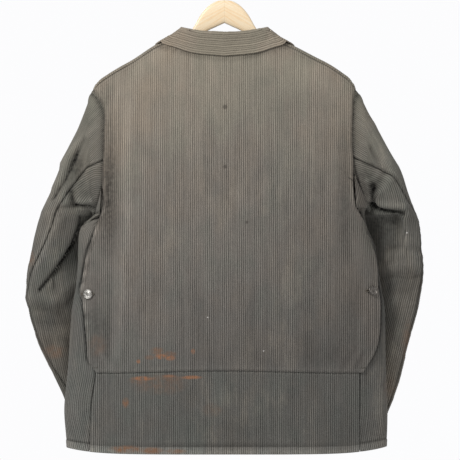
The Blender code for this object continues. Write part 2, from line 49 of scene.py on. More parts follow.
# ---------------------------------------------------------------- the solids' own sizes
CLOTH = 2.0
SEAM_GAP = 0.4
ROUNDNESS = 2.6
NECK_OUT, NECK_SIDE, NECK_BACK, NECK_FRONT = 80.0, 134.0, 152.0, 208.0
TIP_OUT, TIP = 239.0, 233.0
WAIST_SEAM, INNER_TOP = 738.0, 486.0
HEM, HEM_RISE = 886.0, 11.0
SHOULDER_ROLL, SHOULDER_LAP = 160.0, 4.5
PANEL_TOP = 235.0
POCKET_LIFT, LAP, LAP_SINK = 4.2, 20.0, 2.6
BODY = [
    # drop, half width left, half width right, depth back, depth front
    (100, 262, 262, 46, 44), (235, 262, 262, 48, 46), (340, 250, 262, 51, 49),
    (385, 242, 262, 52, 50), (430, 234, 259, 52, 50), (444, 232, 256, 52, 50),
    (453, 231, 252, 52, 50), (478, 257, 256, 53, 50), (511, 263, 270, 54, 50),
    (545, 264, 276, 54, 50), (585, 267, 281, 53, 50), (625, 274, 288, 52, 49),
    (698, 279, 290, 50, 47), (738, 282, 291, 48, 46), (804, 289, 293, 44, 43),
    (851, 286, 292, 40, 40), (900, 281, 288, 38, 38),
]
SHOULDER = [
    # out, drop on the left, drop on the right
    (0, 118, 118), (80, 134, 134), (120, 148, 150), (165, 177, 173), (190, 191, 186),
    (214, 206, 202), (227, 216, 213), (239, 233, 233), (262, 262, 262),
]
ARMHOLE = {
    # rows of drop, out
    "left": [
        (233, 239), (243, 229), (270, 216.5), (316, 217), (356, 217.5), (385, 218.5), (400, 219.5),
        (414, 223), (426, 227), (453, 230.6),
    ],
    "right": [
        (233, 238.5), (245, 233.5), (258, 232), (316, 230.5), (356, 231.5), (372, 234),
        (385, 238.5), (414, 247), (444, 255.6),
    ],
}
BACK_EDGE = {
    # rows of drop, out; they start as the armhole's do
    "left": ARMHOLE["left"][:5] + [
        (385, 218.3), (404, 217.4), (425, 215.4), (447, 216.6), (463, 222), (492, 233),
        (522, 245.5), (545, 250), (568, 254), (590, 258), (601, 254), (629, 250.6), (657, 248),
        (691, 245), (717, 243.6), (727, 236.5), (738, 230),
    ],
    "right": ARMHOLE["right"][:3] + [
        (316, 230.4), (362, 231.5), (407, 230.4), (444, 235), (456, 243), (473, 250.5), (491, 260),
        (511, 267.5), (536, 271.5), (579, 273.4), (600, 277), (635, 278), (663, 276.5), (690, 272),
        (715, 261.5), (738, 248),
    ],
}
SIDE_SEAM = {
    # rows of drop, out
    "left": [(404, 220), (738, 232), (804, 240), (900, 243)],
    "right": [(385, 233), (738, 243), (900, 243)],
}
UNDERARM = {"left": 453.0, "right": 444.0}
SIDE_SEAM_TOP = {"left": 404.0, "right": 385.0}
SLEEVE = {
    # outer edge's out, drop, y; inner edge's out, drop, y; depths back and front; fold; by
    # the underarm the inner edge runs behind the body's side, as the cloth there does
    "left": [
        (246, 256, 0, 236, 458, -1, 34, 34, 0), (256.5, 282, 0, 237, 458, -3, 36, 36, 0),
        (266.5, 306, 0, 237, 458, -6, 37, 37, 0), (289, 352, 0, 236, 458, -11, 38, 38, 0),
        (305.5, 398, 0, 235, 455, -18, 38, 37, 0), (320, 430, -1, 233, 456, -26, 37, 35, 0),
        (329, 449, -1, 230, 457, -33, 36, 34, 0), (332.5, 460, -2, 228, 464, -40, 36, 33, 14),
        (338, 477, -3, 229, 478, -47, 34, 32, 19), (345, 506, -4, 234, 506, -55, 33, 31, 18),
        (351, 535, -6, 229, 535, -61, 32, 31, 15), (355.5, 565, -8, 224, 565, -65, 31, 31, 9),
        (357.5, 599, -10, 218, 599, -70, 30, 30, 0), (355.5, 625, -12, 212, 625, -73, 30, 29, 0),
        (345.5, 660, -16, 204, 660, -76, 29, 28, 0), (335, 690, -21, 196, 690, -78, 28, 27, 0),
        (316.5, 730, -30, 184, 730, -80, 27, 26, 0), (302, 763, -38, 174, 763, -80, 26, 25, 0),
        (288.5, 796, -46, 163, 796, -79, 25, 24, 0), (278, 824, -52, 154, 824, -77, 24, 23, 0),
    ],
    "right": [
        (251, 255, 0, 260, 451, -1, 34, 34, 0), (264, 280, 0, 262, 451, -3, 36, 36, 0),
        (278, 304, 0, 262, 451, -6, 37, 37, 0), (298, 340, 0, 261, 450, -11, 38, 38, 0),
        (314, 369, 0, 258, 446, -17, 38, 38, 0), (325, 399, 0, 254, 447, -23, 38, 37, 0),
        (336, 431, -1, 251, 450, -30, 37, 35, 0), (346, 456, -1, 249, 456, -37, 36, 34, 0),
        (349, 464, -2, 248, 463, -43, 36, 33, 13), (352, 480, -3, 249, 478, -49, 34, 32, 16),
        (355.5, 518, -5, 249, 518, -58, 33, 31, 9), (357, 545, -6, 251, 545, -63, 32, 31, 4),
        (357.7, 566, -8, 247, 566, -67, 31, 31, 0), (354, 593, -10, 240, 593, -71, 30, 30, 0),
        (345.6, 635, -14, 229, 635, -75, 29, 29, 0), (337.5, 669, -19, 219, 669, -78, 28, 28, 0),
        (329.6, 699, -25, 210, 699, -80, 27, 27, 0), (322, 734, -32, 198, 734, -81, 26, 26, 0),
        (308, 781, -44, 183, 781, -81, 25, 25, 0), (294.5, 817, -52, 170, 817, -79, 24, 24, 0),
        (285, 842, -57, 161, 842, -77, 24, 23, 0),
    ],
}
SLEEVE_SEAM = {
    # rows of out, drop
    "left": [
        (217, 358), (246, 372), (266, 398), (291.6, 430), (303.3, 453.5), (314, 489.5), (331, 524),
        (349.5, 565), (355.5, 599), (353, 625), (340, 669), (314, 725), (285.5, 768.5), (258, 826),
    ],
    "right": [
        (231, 358), (259, 366.5), (300.5, 387), (319, 410), (332, 435.5), (346.5, 453.5),
        (351, 471.5), (354, 518), (355.5, 566), (343, 635), (327, 699), (304, 781), (280, 844),
    ],
}
SLEEVE_FOLD = {
    # rows of out, drop
    "left": [
        (258, 440), (258, 478.6), (275, 514.6), (289.3, 536), (306, 560.5), (335, 597),
    ],
    "right": [
        (319, 440), (319, 455), (323, 475), (326.5, 502), (328.5, 570),
    ],
}
FRONT_SEAM = 0.86
COLLAR = [
    # degrees; fold line's out and drop; outer edge's out and drop
    (0, 0, 128.5, 0, 173), (30, 40, 125.5, 55, 167.5), (60, 70, 120.5, 97, 155),
    (90, 78.5, 119, 123, 151.5), (120, 72, 133, 122, 178), (150, 44, 167, 92, 216),
    (170, 16, 193, 58, 239),
]
FOLD_HALF, COLLAR_OFF = 3.4, 4.4
HANGER = [
    # out, drop of the top edge (None: just under the shoulder ridge), of the bottom edge
    (0, 70, 111.5), (14, 72, 118), (28, 80, 124.5), (42, 95.5, 133), (57, 121, 144),
    (68, 134.5, 152), (80, 143, 162), (105, None, 177), (135, None, 198), (170, None, 220),
    (200, None, 238), (211, None, 240), (217, 222, 234),
]
HANGER_UNDER, HANGER_THICK = 4.6, 12.0
BUTTON_RADIUS, BUTTON_HEIGHT, BUTTON_GAP = 8.5, 3.2, 0.5
BACK_BUTTONS = {"left": (599.0, 242.0), "right": (593.0, 263.5)}
FRONT_BUTTON_DROPS = (258.0, 390.0, 522.0, 654.0, 786.0)
HOOK_WIRE, HOOK_RADIUS = 3.6, 24.0

# ---------------------------------------------------------------- the cloth
RIB = 3.8              # pitch of the ribs
RIB_DEPTH = 0.42       # depth of the grooves between them
PER_RIB = 4            # columns of mesh to a rib
TUCK = 5.0             # how far a sleeve's head runs in under the body's armhole edge
HEM_BAND = 14.0        # height of the hem's row of stitches
BY_HEM = (1, 2.5, 4.5, 7, 9.5, 12, 14)    # finer rows of mesh by the hem
CUFF_BAND = 22.0       # the same at the cuffs
LOWER_LONG, INNER_LONG = 146.0, 252.0     # lengths of the back's lower and inner pieces
FRONT_UP, FRONT_DOWN = 225.0, 440.0       # lengths of a front above and below the underarm
SLEEVE_STEP, HEAD_STEP = 28.0, 22.0       # length of sleeve to one row, and to the head's row
SLEEVE_GAP = 0.6                          # half the gap at a sleeve's seams
ELBOW = (5.0, 12.5)                       # a sleeve's rows that get a finer mesh
EDGE_SETTLED = 470.0                      # level under which the panel's edge is as the solid's
LINE_1, LINE_2 = 2.6, 8.4                 # a felled seam's two rows of stitches, from its edge
BACK_LINE_2, HOLES_LINE = 8.2, 32.0       # the back's second row, and the row by the buttonholes
BAR_TACKS = (404.0, 729.0)                # levels of the pocket's bar tacks


def table(rows, at, column, key=0):
    """Smooth values of a column at places on the table's key column."""
    keys = np.array([row[key] for row in rows], float)
    values = np.array([row[column] for row in rows], float)
    at = np.clip(np.asarray(at, float), keys[0], keys[-1])
    i = np.clip(np.searchsorted(keys, at) - 1, 0, len(keys) - 2)
    lo = np.maximum(np.arange(len(keys)) - 1, 0)
    hi = np.minimum(np.arange(len(keys)) + 1, len(keys) - 1)
    slopes = (values[hi] - values[lo]) / (keys[hi] - keys[lo])
    span = keys[i + 1] - keys[i]
    t = (at - keys[i]) / span
    a, b = values[i], values[i + 1]
    flat = a == b
    da = np.where(flat, 0.0, slopes[i] * span)
    db = np.where(flat, 0.0, slopes[i + 1] * span)
    return (a * (1 + 2 * t) * (1 - t) ** 2 + da * t * (1 - t) ** 2
            + b * t * t * (3 - 2 * t) - db * t * t * (1 - t))


def mix(a, b, t):
    """From a to b as t goes from 0 to 1."""
    return a + (b - a) * t


def smooth(t):
    t = np.clip(t, 0.0, 1.0)
    return t * t * (3 - 2 * t)


def bell(distance, width):
    """1 at no distance, falling to 0 within about two widths."""
    return np.exp(-(distance / width) ** 2)


def through(points, t):
    """The smooth curve through a row of points, at a place counted in points."""
    last = len(points) - 1
    i = min(int(t), last - 1)
    t -= i
    a, b, c, d = (points[k] for k in (max(i - 1, 0), i, i + 1, min(i + 2, last)))
    return 0.5 * (2 * b + (c - a) * t + (2 * a - 5 * b + 4 * c - d) * t * t
                  + (3 * b - a - 3 * c + d) * t ** 3)


def patches(rows, x, drop, power=2):
    """Tones from a table of soft patches: x, drop, half width, half height, tone."""
    return sum(tone * np.exp(-((x - spot) / wide) ** 2 - ((drop - level) / tall) ** power)
               for spot, level, wide, tall, tone in rows)


def unit(v):
    return v / np.maximum(np.linalg.norm(v, axis=-1, keepdims=True), 1e-9)


def sided(rows, x, key, left, right):
    """A table's value from the column of the side that x lies on."""
    return np.where(x >= 0, table(rows, key, left), table(rows, key, right))


def ridge(x):
    """Drop of the shoulder's ridge."""
    return sided(SHOULDER, x, np.abs(x), 1, 2)


def body(x, drop, back, oval=None):
    """Points of the body's outer surface. 'oval' is the share of full depth, if known."""
    if oval is None:
        ratio = np.minimum(np.abs(x) / sided(BODY, x, drop, 1, 2), 1.0)
        oval = (1 - ratio ** ROUNDNESS) ** (1 / ROUNDNESS)
    below = np.clip((drop - ridge(x)) / SHOULDER_ROLL, 0.0, 1.0)
    roll = np.sqrt(1 - (1 - below) ** 2)
    depth = np.where(back, table(BODY, drop, 3), -table(BODY, drop, 4))
    x, y, drop = np.broadcast_arrays(x, depth * oval * roll, drop)
    return np.stack([x, y, -drop], -1)


def neck_drop(x, back):
    low = NECK_BACK if back else NECK_FRONT
    return mix(low, NECK_SIDE, np.minimum(np.abs(x) / NECK_OUT, 1.0) ** 2)


def waist_drop(x):
    """Drop of the waist seam, which hangs a little lower at the sides."""
    return WAIST_SEAM - 2.8 + 4.6 * smooth(np.abs(x) / 215.0)


def hem_drop(x):
    return HEM - HEM_RISE * (np.abs(x) / 285.0) ** 6


class Wrap:
    """Places round half of the body's level cuts, by the length of cloth from the middle."""

    STEP, LEVEL_STEP, LONGEST = 1.0, 5.0, 620.0

    def __init__(self, side, back):
        column = 1 if side == "left" else 2
        self.levels = np.arange(130.0, 901.0, self.LEVEL_STEP)
        self.arcs = np.arange(0.0, self.LONGEST, self.STEP)
        turn = np.linspace(0.0, math.pi, 721)
        sine, cosine = np.sin(turn), np.cos(turn)
        rows = []
        for level in self.levels:
            width = table(BODY, level, column)
            near, far = table(BODY, level, 3 if back else 4), table(BODY, level, 4 if back else 3)
            depth = np.where(cosine >= 0, near, far)
            reach = ((sine / width) ** ROUNDNESS
                     + (np.abs(cosine) / depth) ** ROUNDNESS) ** (-1 / ROUNDNESS)
            x, y = reach * sine, reach * cosine
            arc = np.concatenate([[0], np.cumsum(np.hypot(np.diff(x), np.diff(y)))])
            rows.append((np.interp(self.arcs, arc, x), np.interp(self.arcs, arc, y / depth)))
        self.x = np.array([row[0] for row in rows])
        self.y = np.array([row[1] for row in rows])

    def look(self, grid, arc, level):
        r = np.clip((level - self.levels[0]) / self.LEVEL_STEP, 0, len(self.levels) - 1.001)
        c = np.clip(np.abs(arc) / self.STEP, 0, len(self.arcs) - 1.001)
        i, j = r.astype(int), c.astype(int)
        r, c = r - i, c - j
        return ((grid[i, j] * (1 - c) + grid[i, j + 1] * c) * (1 - r)
                + (grid[i + 1, j] * (1 - c) + grid[i + 1, j + 1] * c) * r)

    def out(self, arc, level):
        arc, level = np.broadcast_arrays(np.asarray(arc, float), np.asarray(level, float))
        return self.look(self.x, arc, level) * np.sign(arc + 1e-12)

    def depth(self, arc, level):
        """Share of full depth; negative past the side."""
        arc, level = np.broadcast_arrays(np.asarray(arc, float), np.asarray(level, float))
        return self.look(self.y, arc, level)

    def arc_at(self, out, level, past_side=False):
        """Length of cloth from the middle to a distance out, for one level."""
        xs = self.out(self.arcs, level)
        top = int(np.argmax(xs))
        if past_side:
            return float(np.interp(-out, -xs[top:], self.arcs[top:]))
        return float(np.interp(out, xs[:top + 1], self.arcs[:top + 1]))


WRAPS = {(side, back): Wrap(side, back) for side in ("left", "right") for back in (True, False)}


def wave(a, b, length, seed):
    """A soft uneven swell over a piece, about 1 high, from a few crossed waves."""
    total = 0.0
    for k in range(4):
        turn = seed * 1.7 + k * 2.4
        pitch = length * (0.7 + 0.35 * ((seed * 3 + k * 5) % 4) / 2)
        total = total + np.sin((a * math.cos(turn) + b * math.sin(turn)) * math.tau / pitch
                               + seed * 2.1 + k * k)
    return total * 0.35


def strokes(x, drop, rows):
    """Heights from listed folds: (height, width, lean, points of (x, drop) ...)."""
    total = np.zeros(np.broadcast(x, drop).shape)
    for height, width, lean, *line in rows:
        best = np.full(total.shape, 1e9)
        side = np.zeros(total.shape)
        for (ax, az), (bx, bz) in zip(line, line[1:]):
            dx, dz = bx - ax, bz - az
            size = dx * dx + dz * dz
            t = np.clip(((x - ax) * dx + (drop - az) * dz) / size, 0, 1)
            px, pz = x - ax - t * dx, drop - az - t * dz
            d = np.hypot(px, pz)
            near = d < best
            best = np.where(near, d, best)
            side = np.where(near, (px * dz - pz * dx) / math.sqrt(size), side)
        total += height * bell(best, width) * (1 + lean * np.tanh(side / width))
    return total


def around(back, arc, level):
    """(x, share of full depth) at a signed length of cloth from the centre back or front."""
    left, right = WRAPS["left", back], WRAPS["right", back]
    return (np.where(arc >= 0, left.out(arc, level), right.out(arc, level)),
            np.where(arc >= 0, left.depth(arc, level), right.depth(arc, level)))


def spaced(start, end, step, near=(1.0, 2.5, 4.5, 7.0, 9.5)):
    """Places from start to end, closer together by both ends."""
    ends = [start + n for n in (0.0, *near)] + [end - n for n in (*near[::-1], 0.0)]
    inner = np.arange(start + near[-1] + step, end - near[-1] - step / 2, step)
    return np.array(sorted(ends + list(inner)))


def share_rows(long, step, near):
    """Rows of mesh, as shares of a piece's length."""
    return spaced(0.0, 1.0, step / long, tuple(n / long for n in near))


def columns(lo, hi):
    """Lengths of cloth at the columns of mesh, which follow the ribs."""
    step = RIB / PER_RIB
    first = math.floor(lo / step / PER_RIB) * PER_RIB
    last = math.ceil(hi / step / PER_RIB) * PER_RIB
    return np.arange(first, last + 1) * step


def ribbed(arc):
    """Height of the ribs: round wales with a narrow groove at each pitch."""
    return RIB_DEPTH * (np.abs(np.sin(math.pi * arc / RIB)) ** 0.6 - 1.0)


def oriented(surface, u, t, sign, dt):
    """Points of a surface and the outward normals there."""
    point = surface(u, t)
    across = surface(u + 0.6, t) - surface(u - 0.6, t)
    along = surface(u, t + dt) - surface(u, t - dt)
    return point, unit(np.cross(across, along)) * sign


def grid_faces(index, keep, flip):
    """Faces of a grid of vertex numbers, where merged columns leave out or narrow a face."""
    a, b = index[:-1, :-1], index[:-1, 1:]
    d, c = index[1:, :-1], index[1:, 1:]
    quads = np.stack([a, b, c, d], -1)[keep]
    if flip:
        quads = quads[:, ::-1]
    whole = (quads[:, 0] != quads[:, 1]) & (quads[:, 1] != quads[:, 2]) \
        & (quads[:, 2] != quads[:, 3]) & (quads[:, 3] != quads[:, 0])
    faces = quads[whole].tolist()
    for quad in quads[~whole].tolist():
        face = list(dict.fromkeys(quad))
        if len(face) > 2:
            faces.append(face)
    return faces


def merged(arcs, lo, hi, rows, offset):
    """Vertex numbers of a grid whose columns past an edge are one vertex on that edge."""
    first = np.searchsorted(arcs, lo, "right") - 1
    last = np.searchsorted(arcs, hi, "left")
    column = np.clip(np.arange(len(arcs))[None, :], np.maximum(first, 0)[:, None],
                     np.minimum(last, len(arcs) - 1)[:, None])
    return offset + np.arange(rows)[:, None] * len(arcs) + column


def plain_faces(index, keep, flip):
    """The inner face: one face to a rib, with the finer places only where it meets others."""
    a, b, c, d = index[:-1, :-1], index[:-1, 1:], index[1:, 1:], index[1:, :-1]
    good = keep & (a != b) & (d != c) & (a != d) & (b != c)
    rows, cells = good.shape[0], good.shape[1] // PER_RIB
    whole = good[:, :cells * PER_RIB].reshape(rows, cells, PER_RIB).all(2)
    rest = keep.copy()
    rest[:, :cells * PER_RIB] &= ~np.repeat(whole, PER_RIB, 1)
    faces = grid_faces(index, rest, flip)
    above = np.vstack([np.zeros((1, cells), bool), whole[:-1]])
    below = np.vstack([whole[1:], np.zeros((1, cells), bool)])
    for i, j in np.argwhere(whole).tolist():
        k = j * PER_RIB
        top = index[i, k:k + PER_RIB + 1][::1 if not above[i, j] else PER_RIB].tolist()
        low = index[i + 1, k:k + PER_RIB + 1][::1 if not below[i, j] else PER_RIB].tolist()
        face = top + low[::-1]
        faces.append(face[::-1] if flip else face)
    return faces


def make_mesh(name, points, faces, uv=None, tone=None):
    """A smooth mesh object from points in millimetres, without the points no face uses."""
    flat = np.concatenate([np.array(face) for face in faces]) if len(faces) < 400 \
        else np.fromiter((i for face in faces for i in face), int)
    used = np.unique(flat)
    new = np.zeros(len(points), int)
    new[used] = np.arange(len(used))
    mesh = bpy.data.meshes.new(name)
    mesh.from_pydata((points[used] * MM).tolist(), [], [new[face].tolist() for face in faces])
    if uv is not None:
        layer = mesh.uv_layers.new(name="cloth")
        corner = np.zeros(len(mesh.loops), int)
        mesh.loops.foreach_get("vertex_index", corner)
        layer.data.foreach_set("uv", (uv[used][corner] * 0.01).astype(np.float32).ravel())
    if tone is not None:
        # the tone: mostly painted shade and painted light along seams, folds, creases and edges,
        # partly wear and mottling
        layer = mesh.attributes.new("tone", "FLOAT", "POINT")
        layer.data.foreach_set("value", tone[used].astype(np.float32))
    mesh.shade_smooth()
    obj = bpy.data.objects.new(name, mesh)
    bpy.context.scene.collection.objects.link(obj)
    return obj


def shell(name, surface, arcs, rows, lo, hi, sign, relief, dt=1.0, shown=None, thick=CLOTH,
          along=None, shade=None):
    """A wall of cloth: a fine outer face with its ribs and folds, a plain inner face, edges."""
    u = np.clip(arcs[None, :], lo[:, None], hi[:, None])
    t = np.broadcast_to(rows[:, None], u.shape)
    base, normal = oriented(surface, u, t, sign, dt)
    keep = np.ones((len(rows) - 1, len(arcs) - 1), bool)
    if shown is not None:
        keep &= shown((arcs[None, 1:] + arcs[None, :-1]) / 2,
                      (rows[1:, None] + rows[:-1, None]) / 2)
    fold = relief(u, t, base, u - lo[:, None], hi[:, None] - u)
    outer = base + normal * (fold + ribbed(u))[..., None]
    inner = base + normal * (np.minimum(fold, 1.0) - thick)[..., None]
    down = -base[..., 2] if along is None else along(u, t)
    index = merged(arcs, lo, hi, len(rows), 0)
    faces = grid_faces(index, keep, sign < 0)
    faces_in = plain_faces(index + index.size, keep, sign > 0)
    edges = np.array([(a, b) for face in faces for a, b in zip(face, face[1:] + face[:1])])
    _, first, count = np.unique(np.sort(edges, 1), axis=0, return_index=True, return_counts=True)
    rim = [[b, a, a + index.size, b + index.size] for a, b in edges[first[count == 1]].tolist()]

    points = np.concatenate([outer.reshape(-1, 3), inner.reshape(-1, 3)])
    uv = np.tile(np.stack([u, down], -1).reshape(-1, 2), (2, 1))
    tone = np.zeros(u.shape) if shade is None else shade(u, t, base, u - lo[:, None],
                                                         hi[:, None] - u)
    obj = make_mesh(name, points, faces + faces_in + rim, uv,
                    np.concatenate([tone.reshape(-1), np.zeros(u.size)]))

    def touch(u_line, t_line):
        """Points on the finished outer face, and normals, along a line of places."""
        u_line, t_line = np.asarray(u_line, float), np.asarray(t_line, float)
        low, high = np.interp(t_line, rows, lo), np.interp(t_line, rows, hi)
        spot, out = oriented(surface, u_line, t_line, sign, dt)
        lift = relief(u_line, t_line, spot, u_line - low, high - u_line)
        return spot + out * (lift - 0.15 * RIB_DEPTH)[..., None], out

    return obj, touch


class Thread:
    """Gathers the stitches of a piece, each a small raised lens of thread."""

    def __init__(self):
        self.points, self.faces = [], []

    def run(self, line, out, pitch=3.0, size=2.3, wide=0.62, high=0.42):
        """A row of stitches along a line of points."""
        gaps = np.linalg.norm(np.diff(line, axis=0), axis=1)
        where = np.concatenate([[0], np.cumsum(gaps)])
        count = max(int(where[-1] / pitch), 1)
        centre = (np.arange(count) + 0.5) * where[-1] / count

        def at(s, data):
            return np.stack([np.interp(s, where, data[:, k]) for k in range(3)], -1)

        mid, normal = at(centre, line), unit(at(centre, out))
        back, front = at(centre - size / 2, line), at(centre + size / 2, line)
        across = unit(np.cross(unit(front - back), normal)) * wide / 2
        start = sum(len(p) for p in self.points)
        self.points.append(np.stack([back, front, mid - across, mid + across,
                                     mid + normal * high], 1).reshape(-1, 3))
        for i in range(count):
            k = start + i * 5
            self.faces += [[k, k + 4, k + 2], [k + 2, k + 4, k + 1], [k + 1, k + 4, k + 3],
                           [k + 3, k + 4, k]]

    def level(self, touch, start, end, row, count=300):
        """A row of stitches along one row of a piece's mesh."""
        self.run(*touch(np.linspace(start, end, count), np.full(count, row)))

    def make(self, name):
        return make_mesh(name, np.concatenate(self.points), self.faces)


def sewn(d):
    """Height by a flat-felled seam: the join, then a raised band between two stitch lines."""
    return (-1.2 * bell(d, 1.8) + 0.4 * (smooth(d / 2) - smooth((d - 8.5) / 3))
            - 0.3 * bell(d - 2.4, 0.8) - 0.3 * bell(d - 8.6, 0.9))


def turned(d, deep=8.0, high=0.8):
    """Height by a free edge that is turned in and stitched down."""
    return high * (1 - smooth((d - deep + 1.5) / 3)) - 0.45 * bell(d - deep, 1.3) \
        - 0.7 * bell(d, 1.1)


def puckers(s, d, high, pitch, reach):
    """Small uneven gathers that a seam leaves beside it."""
    beat = np.sin(s * math.tau / pitch + 1.3 * np.sin(s / (pitch * 1.9)))
    return high * beat * bell(d, reach)


# ---------------------------------------------------------------- folds placed one by one
BACK_FOLDS = [
    # height, width, lean, then points of (x, drop) on the back
    (0.9, 7, 0.2, (192, 240), (199, 420), (211, 560), (217, 722)),
    (-1.3, 11, 0.0, (200, 280), (200, 420), (206, 520)), (1.3, 8, 0.0, (174, 260), (174, 520)),
    (0.6, 8, 0.0, (-206, 262), (-214, 420), (-238, 560), (-246, 700)),
    (-1.2, 11, 0.0, (-214, 300), (-214, 420), (-226, 530)), (-1.3, 4, 0.3, (230, 706), (214, 731)),
    (1.0, 4, 0.0, (222, 700), (206, 729)), (-0.9, 5, 0.0, (208, 704), (190, 733)),
    (0.7, 5, 0.0, (196, 706), (178, 734)), (-1.4, 4, 0.3, (-252, 704), (-236, 731)),
    (1.1, 4, 0.0, (-243, 700), (-226, 730)), (-0.9, 5, 0.0, (-230, 704), (-212, 733)),
    (0.6, 6, 0.0, (-214, 706), (-196, 734)), (-0.8, 6, 0.3, (60, 152), (66, 178), (62, 204)),
    (-0.7, 6, 0.3, (-58, 152), (-66, 180)), (0.7, 9, 0.0, (112, 168), (150, 196), (190, 240)),
    (0.7, 9, 0.0, (-112, 170), (-152, 198), (-200, 246)),
    (0.5, 11, 0.0, (96, 560), (104, 640), (98, 728)), (-0.5, 9, 0.0, (74, 590), (80, 728)),
    (0.5, 10, 0.0, (-30, 600), (-36, 728)), (-0.5, 9, 0.0, (-54, 580), (-60, 728)),
    (0.5, 10, 0.0, (-118, 590), (-124, 728)), (-0.4, 9, 0.0, (-150, 600), (-152, 728)),
    (0.5, 9, 0.0, (140, 640), (144, 728)), (-0.4, 8, 0.0, (20, 640), (22, 728)),
    (-0.9, 7, 0.2, (250, 752), (244, 800), (247, 860)),
    (0.8, 8, 0.0, (262, 748), (256, 806), (260, 868)),
    (-0.9, 7, 0.2, (-258, 752), (-250, 804), (-252, 862)),
    (0.7, 8, 0.0, (-270, 748), (-264, 806), (-266, 868)),
    (0.5, 8, 0.0, (120, 744), (116, 790), (122, 860)), (-0.5, 8, 0.0, (98, 746), (94, 850)),
    (0.5, 9, 0.0, (10, 744), (6, 800), (12, 868)), (-0.5, 9, 0.0, (-14, 746), (-18, 858)),
    (0.5, 9, 0.0, (-104, 744), (-100, 864)), (-0.5, 8, 0.0, (-128, 746), (-124, 850)),
    (0.5, 8, 0.0, (-190, 746), (-184, 862)), (0.5, 9, 0.0, (196, 744), (190, 860)),
]
BACK_SHADES = [
    # x, drop, half width, half height, how much paler (or darker: below 0) it is there: painted
    # shade by the armholes and where the back turns away, painted light, and the cloth's own
    # mottling
    (206, 400, 19, 124, -0.75), (173, 390, 8, 140, 0.28), (-214, 425, 16, 115, -0.55),
    (206, 420, 14, 56, -0.35), (212, 240, 13, 24, -0.5), (-190, 400, 9, 140, 0.12),
    (184, 590, 9, 80, 0.42), (193, 680, 9, 44, 0.42), (204, 724, 11, 16, 0.4),
    (214, 480, 18, 90, -0.25), (214, 640, 20, 80, -0.4), (228, 672, 18, 50, -0.4),
    (208, 676, 9, 44, -0.35), (-200, 690, 26, 44, -0.25), (-228, 645, 14, 62, -0.55),
    (-150, 700, 15, 32, -0.35), (-196, 708, 40, 15, -0.3), (236, 585, 9, 70, -0.4),
    (-262, 620, 8, 80, 0.1), (160, 202, 56, 26, -0.15), (-155, 205, 60, 30, 0.2),
    (203, 372, 10, 30, -0.22), (0, 556, 60, 60, 0.14),
]
SIDE_SHADES = [
    # the same, where the fronts show at the sides: painted shade between the panel's edge and the
    # right armhole, and paler low sides
    (-278, 810, 16, 70, 0.7), (276, 800, 16, 60, 0.2), (-240, 428, 12, 36, -0.65),
]
FRONT_FOLDS = [
    # the same kinds of fold on the hidden fronts
    (1.2, 12, 0.2, (92, 150), (128, 206), (170, 300)),
    (-1.1, 12, 0.0, (112, 168), (150, 230), (186, 330)),
    (1.2, 12, 0.2, (-92, 150), (-130, 208), (-176, 304)),
    (-1.1, 12, 0.0, (-114, 170), (-154, 232), (-190, 330)),
    (-1.2, 10, 0.3, (206, 432), (180, 470), (166, 530)),
    (1.1, 11, 0.0, (190, 430), (166, 470), (150, 540)),
    (-1.2, 10, 0.3, (-222, 428), (-192, 470), (-176, 540)),
    (1.1, 11, 0.0, (-206, 426), (-176, 470), (-160, 548)),
    (0.9, 12, 0.0, (60, 560), (66, 700), (60, 860)), (-0.8, 11, 0.0, (90, 600), (94, 850)),
    (0.9, 12, 0.0, (-70, 560), (-76, 700), (-70, 860)), (-0.8, 11, 0.0, (-104, 600), (-106, 850)),
    (0.8, 12, 0.0, (150, 620), (158, 740), (152, 866)), (-0.8, 11, 0.0, (190, 640), (196, 860)),
    (0.8, 12, 0.0, (-160, 620), (-168, 740), (-160, 866)),
    (-0.8, 11, 0.0, (-204, 640), (-208, 860)), (-0.6, 8, 0.0, (24, 300), (34, 324)),
    (-0.6, 8, 0.0, (24, 430), (36, 452)), (-0.6, 8, 0.0, (24, 562), (34, 584)),
    (-0.6, 8, 0.0, (24, 694), (36, 716)),
]


def swell(x, drop, back):
    """The soft unevenness of the hanging body, alike on pieces that lie on each other."""
    soft = 0.55 * wave(x, drop * 0.6, 165, 1) + 0.28 * wave(x, drop * 0.8, 62, 4)
    front = 1.1 * wave(x, drop * 0.6, 150, 7) + 0.4 * wave(x, drop * 0.8, 64, 3)
    return (np.where(back, soft + strokes(x, drop, BACK_FOLDS),
                     front + strokes(x, drop, FRONT_FOLDS))
            * smooth((drop - 110) / 60))


EDGE_TONES = {
    # lines beside a seam or an edge, mostly painted shade in joins and grooves and painted
    # highlights on raised edges, with some paler bands: tone (dark below 0), distance from it, half
    # width
    "sewn side": [(-0.9, 0, 2.8)],
    "free side": [(0.2, 5, 4.0), (-0.35, 8.5, 1.8), (0.15, 2, 2.5)],
    # painted shadow beside the twisted free edge
    "rope": [(-0.8, 0, 2.0)],
    "shoulder": [(-0.5, 0, 2.4)],
    "above waist": [(-0.35, 0, 1.3), (0.15, 5, 3.0)],
    # painted highlight on the lower piece's raised top edge
    "below waist": [(1.1, 1.8, 1.8)],
    "side seam": [(-0.5, 0, 1.7), (0.35, 3, 1.8)],
    "hem": [(-1.5, HEM_BAND + 1, 1.5)],
    "back hem": [(0.3, 3, 4.0), (0.35, 5, 4.0), (0.8, 0, 16.0)],
    "front hem": [(0.7, 0, 16.0)],
    "front edge": [(0.3, 2, 3.0), (-0.4, 6, 1.8)],
    "sleeve seam": [(-0.8, 0, 2.6), (0.35, 5, 4.0)],
    "cuff": [(0.4, 2, 4.0), (-0.4, CUFF_BAND, 2)],
    # painted shade where the sleeve's head runs in under the body's armhole edge
    "head": [(-1.5, TUCK, 3.0)],
    "collar edge": [(0.35, 1, 2.5), (0.35, 52, 7)],
}


def edge_tone(kind, distance):
    return sum(tone * bell(distance - at, wide) for tone, at, wide in EDGE_TONES[kind])


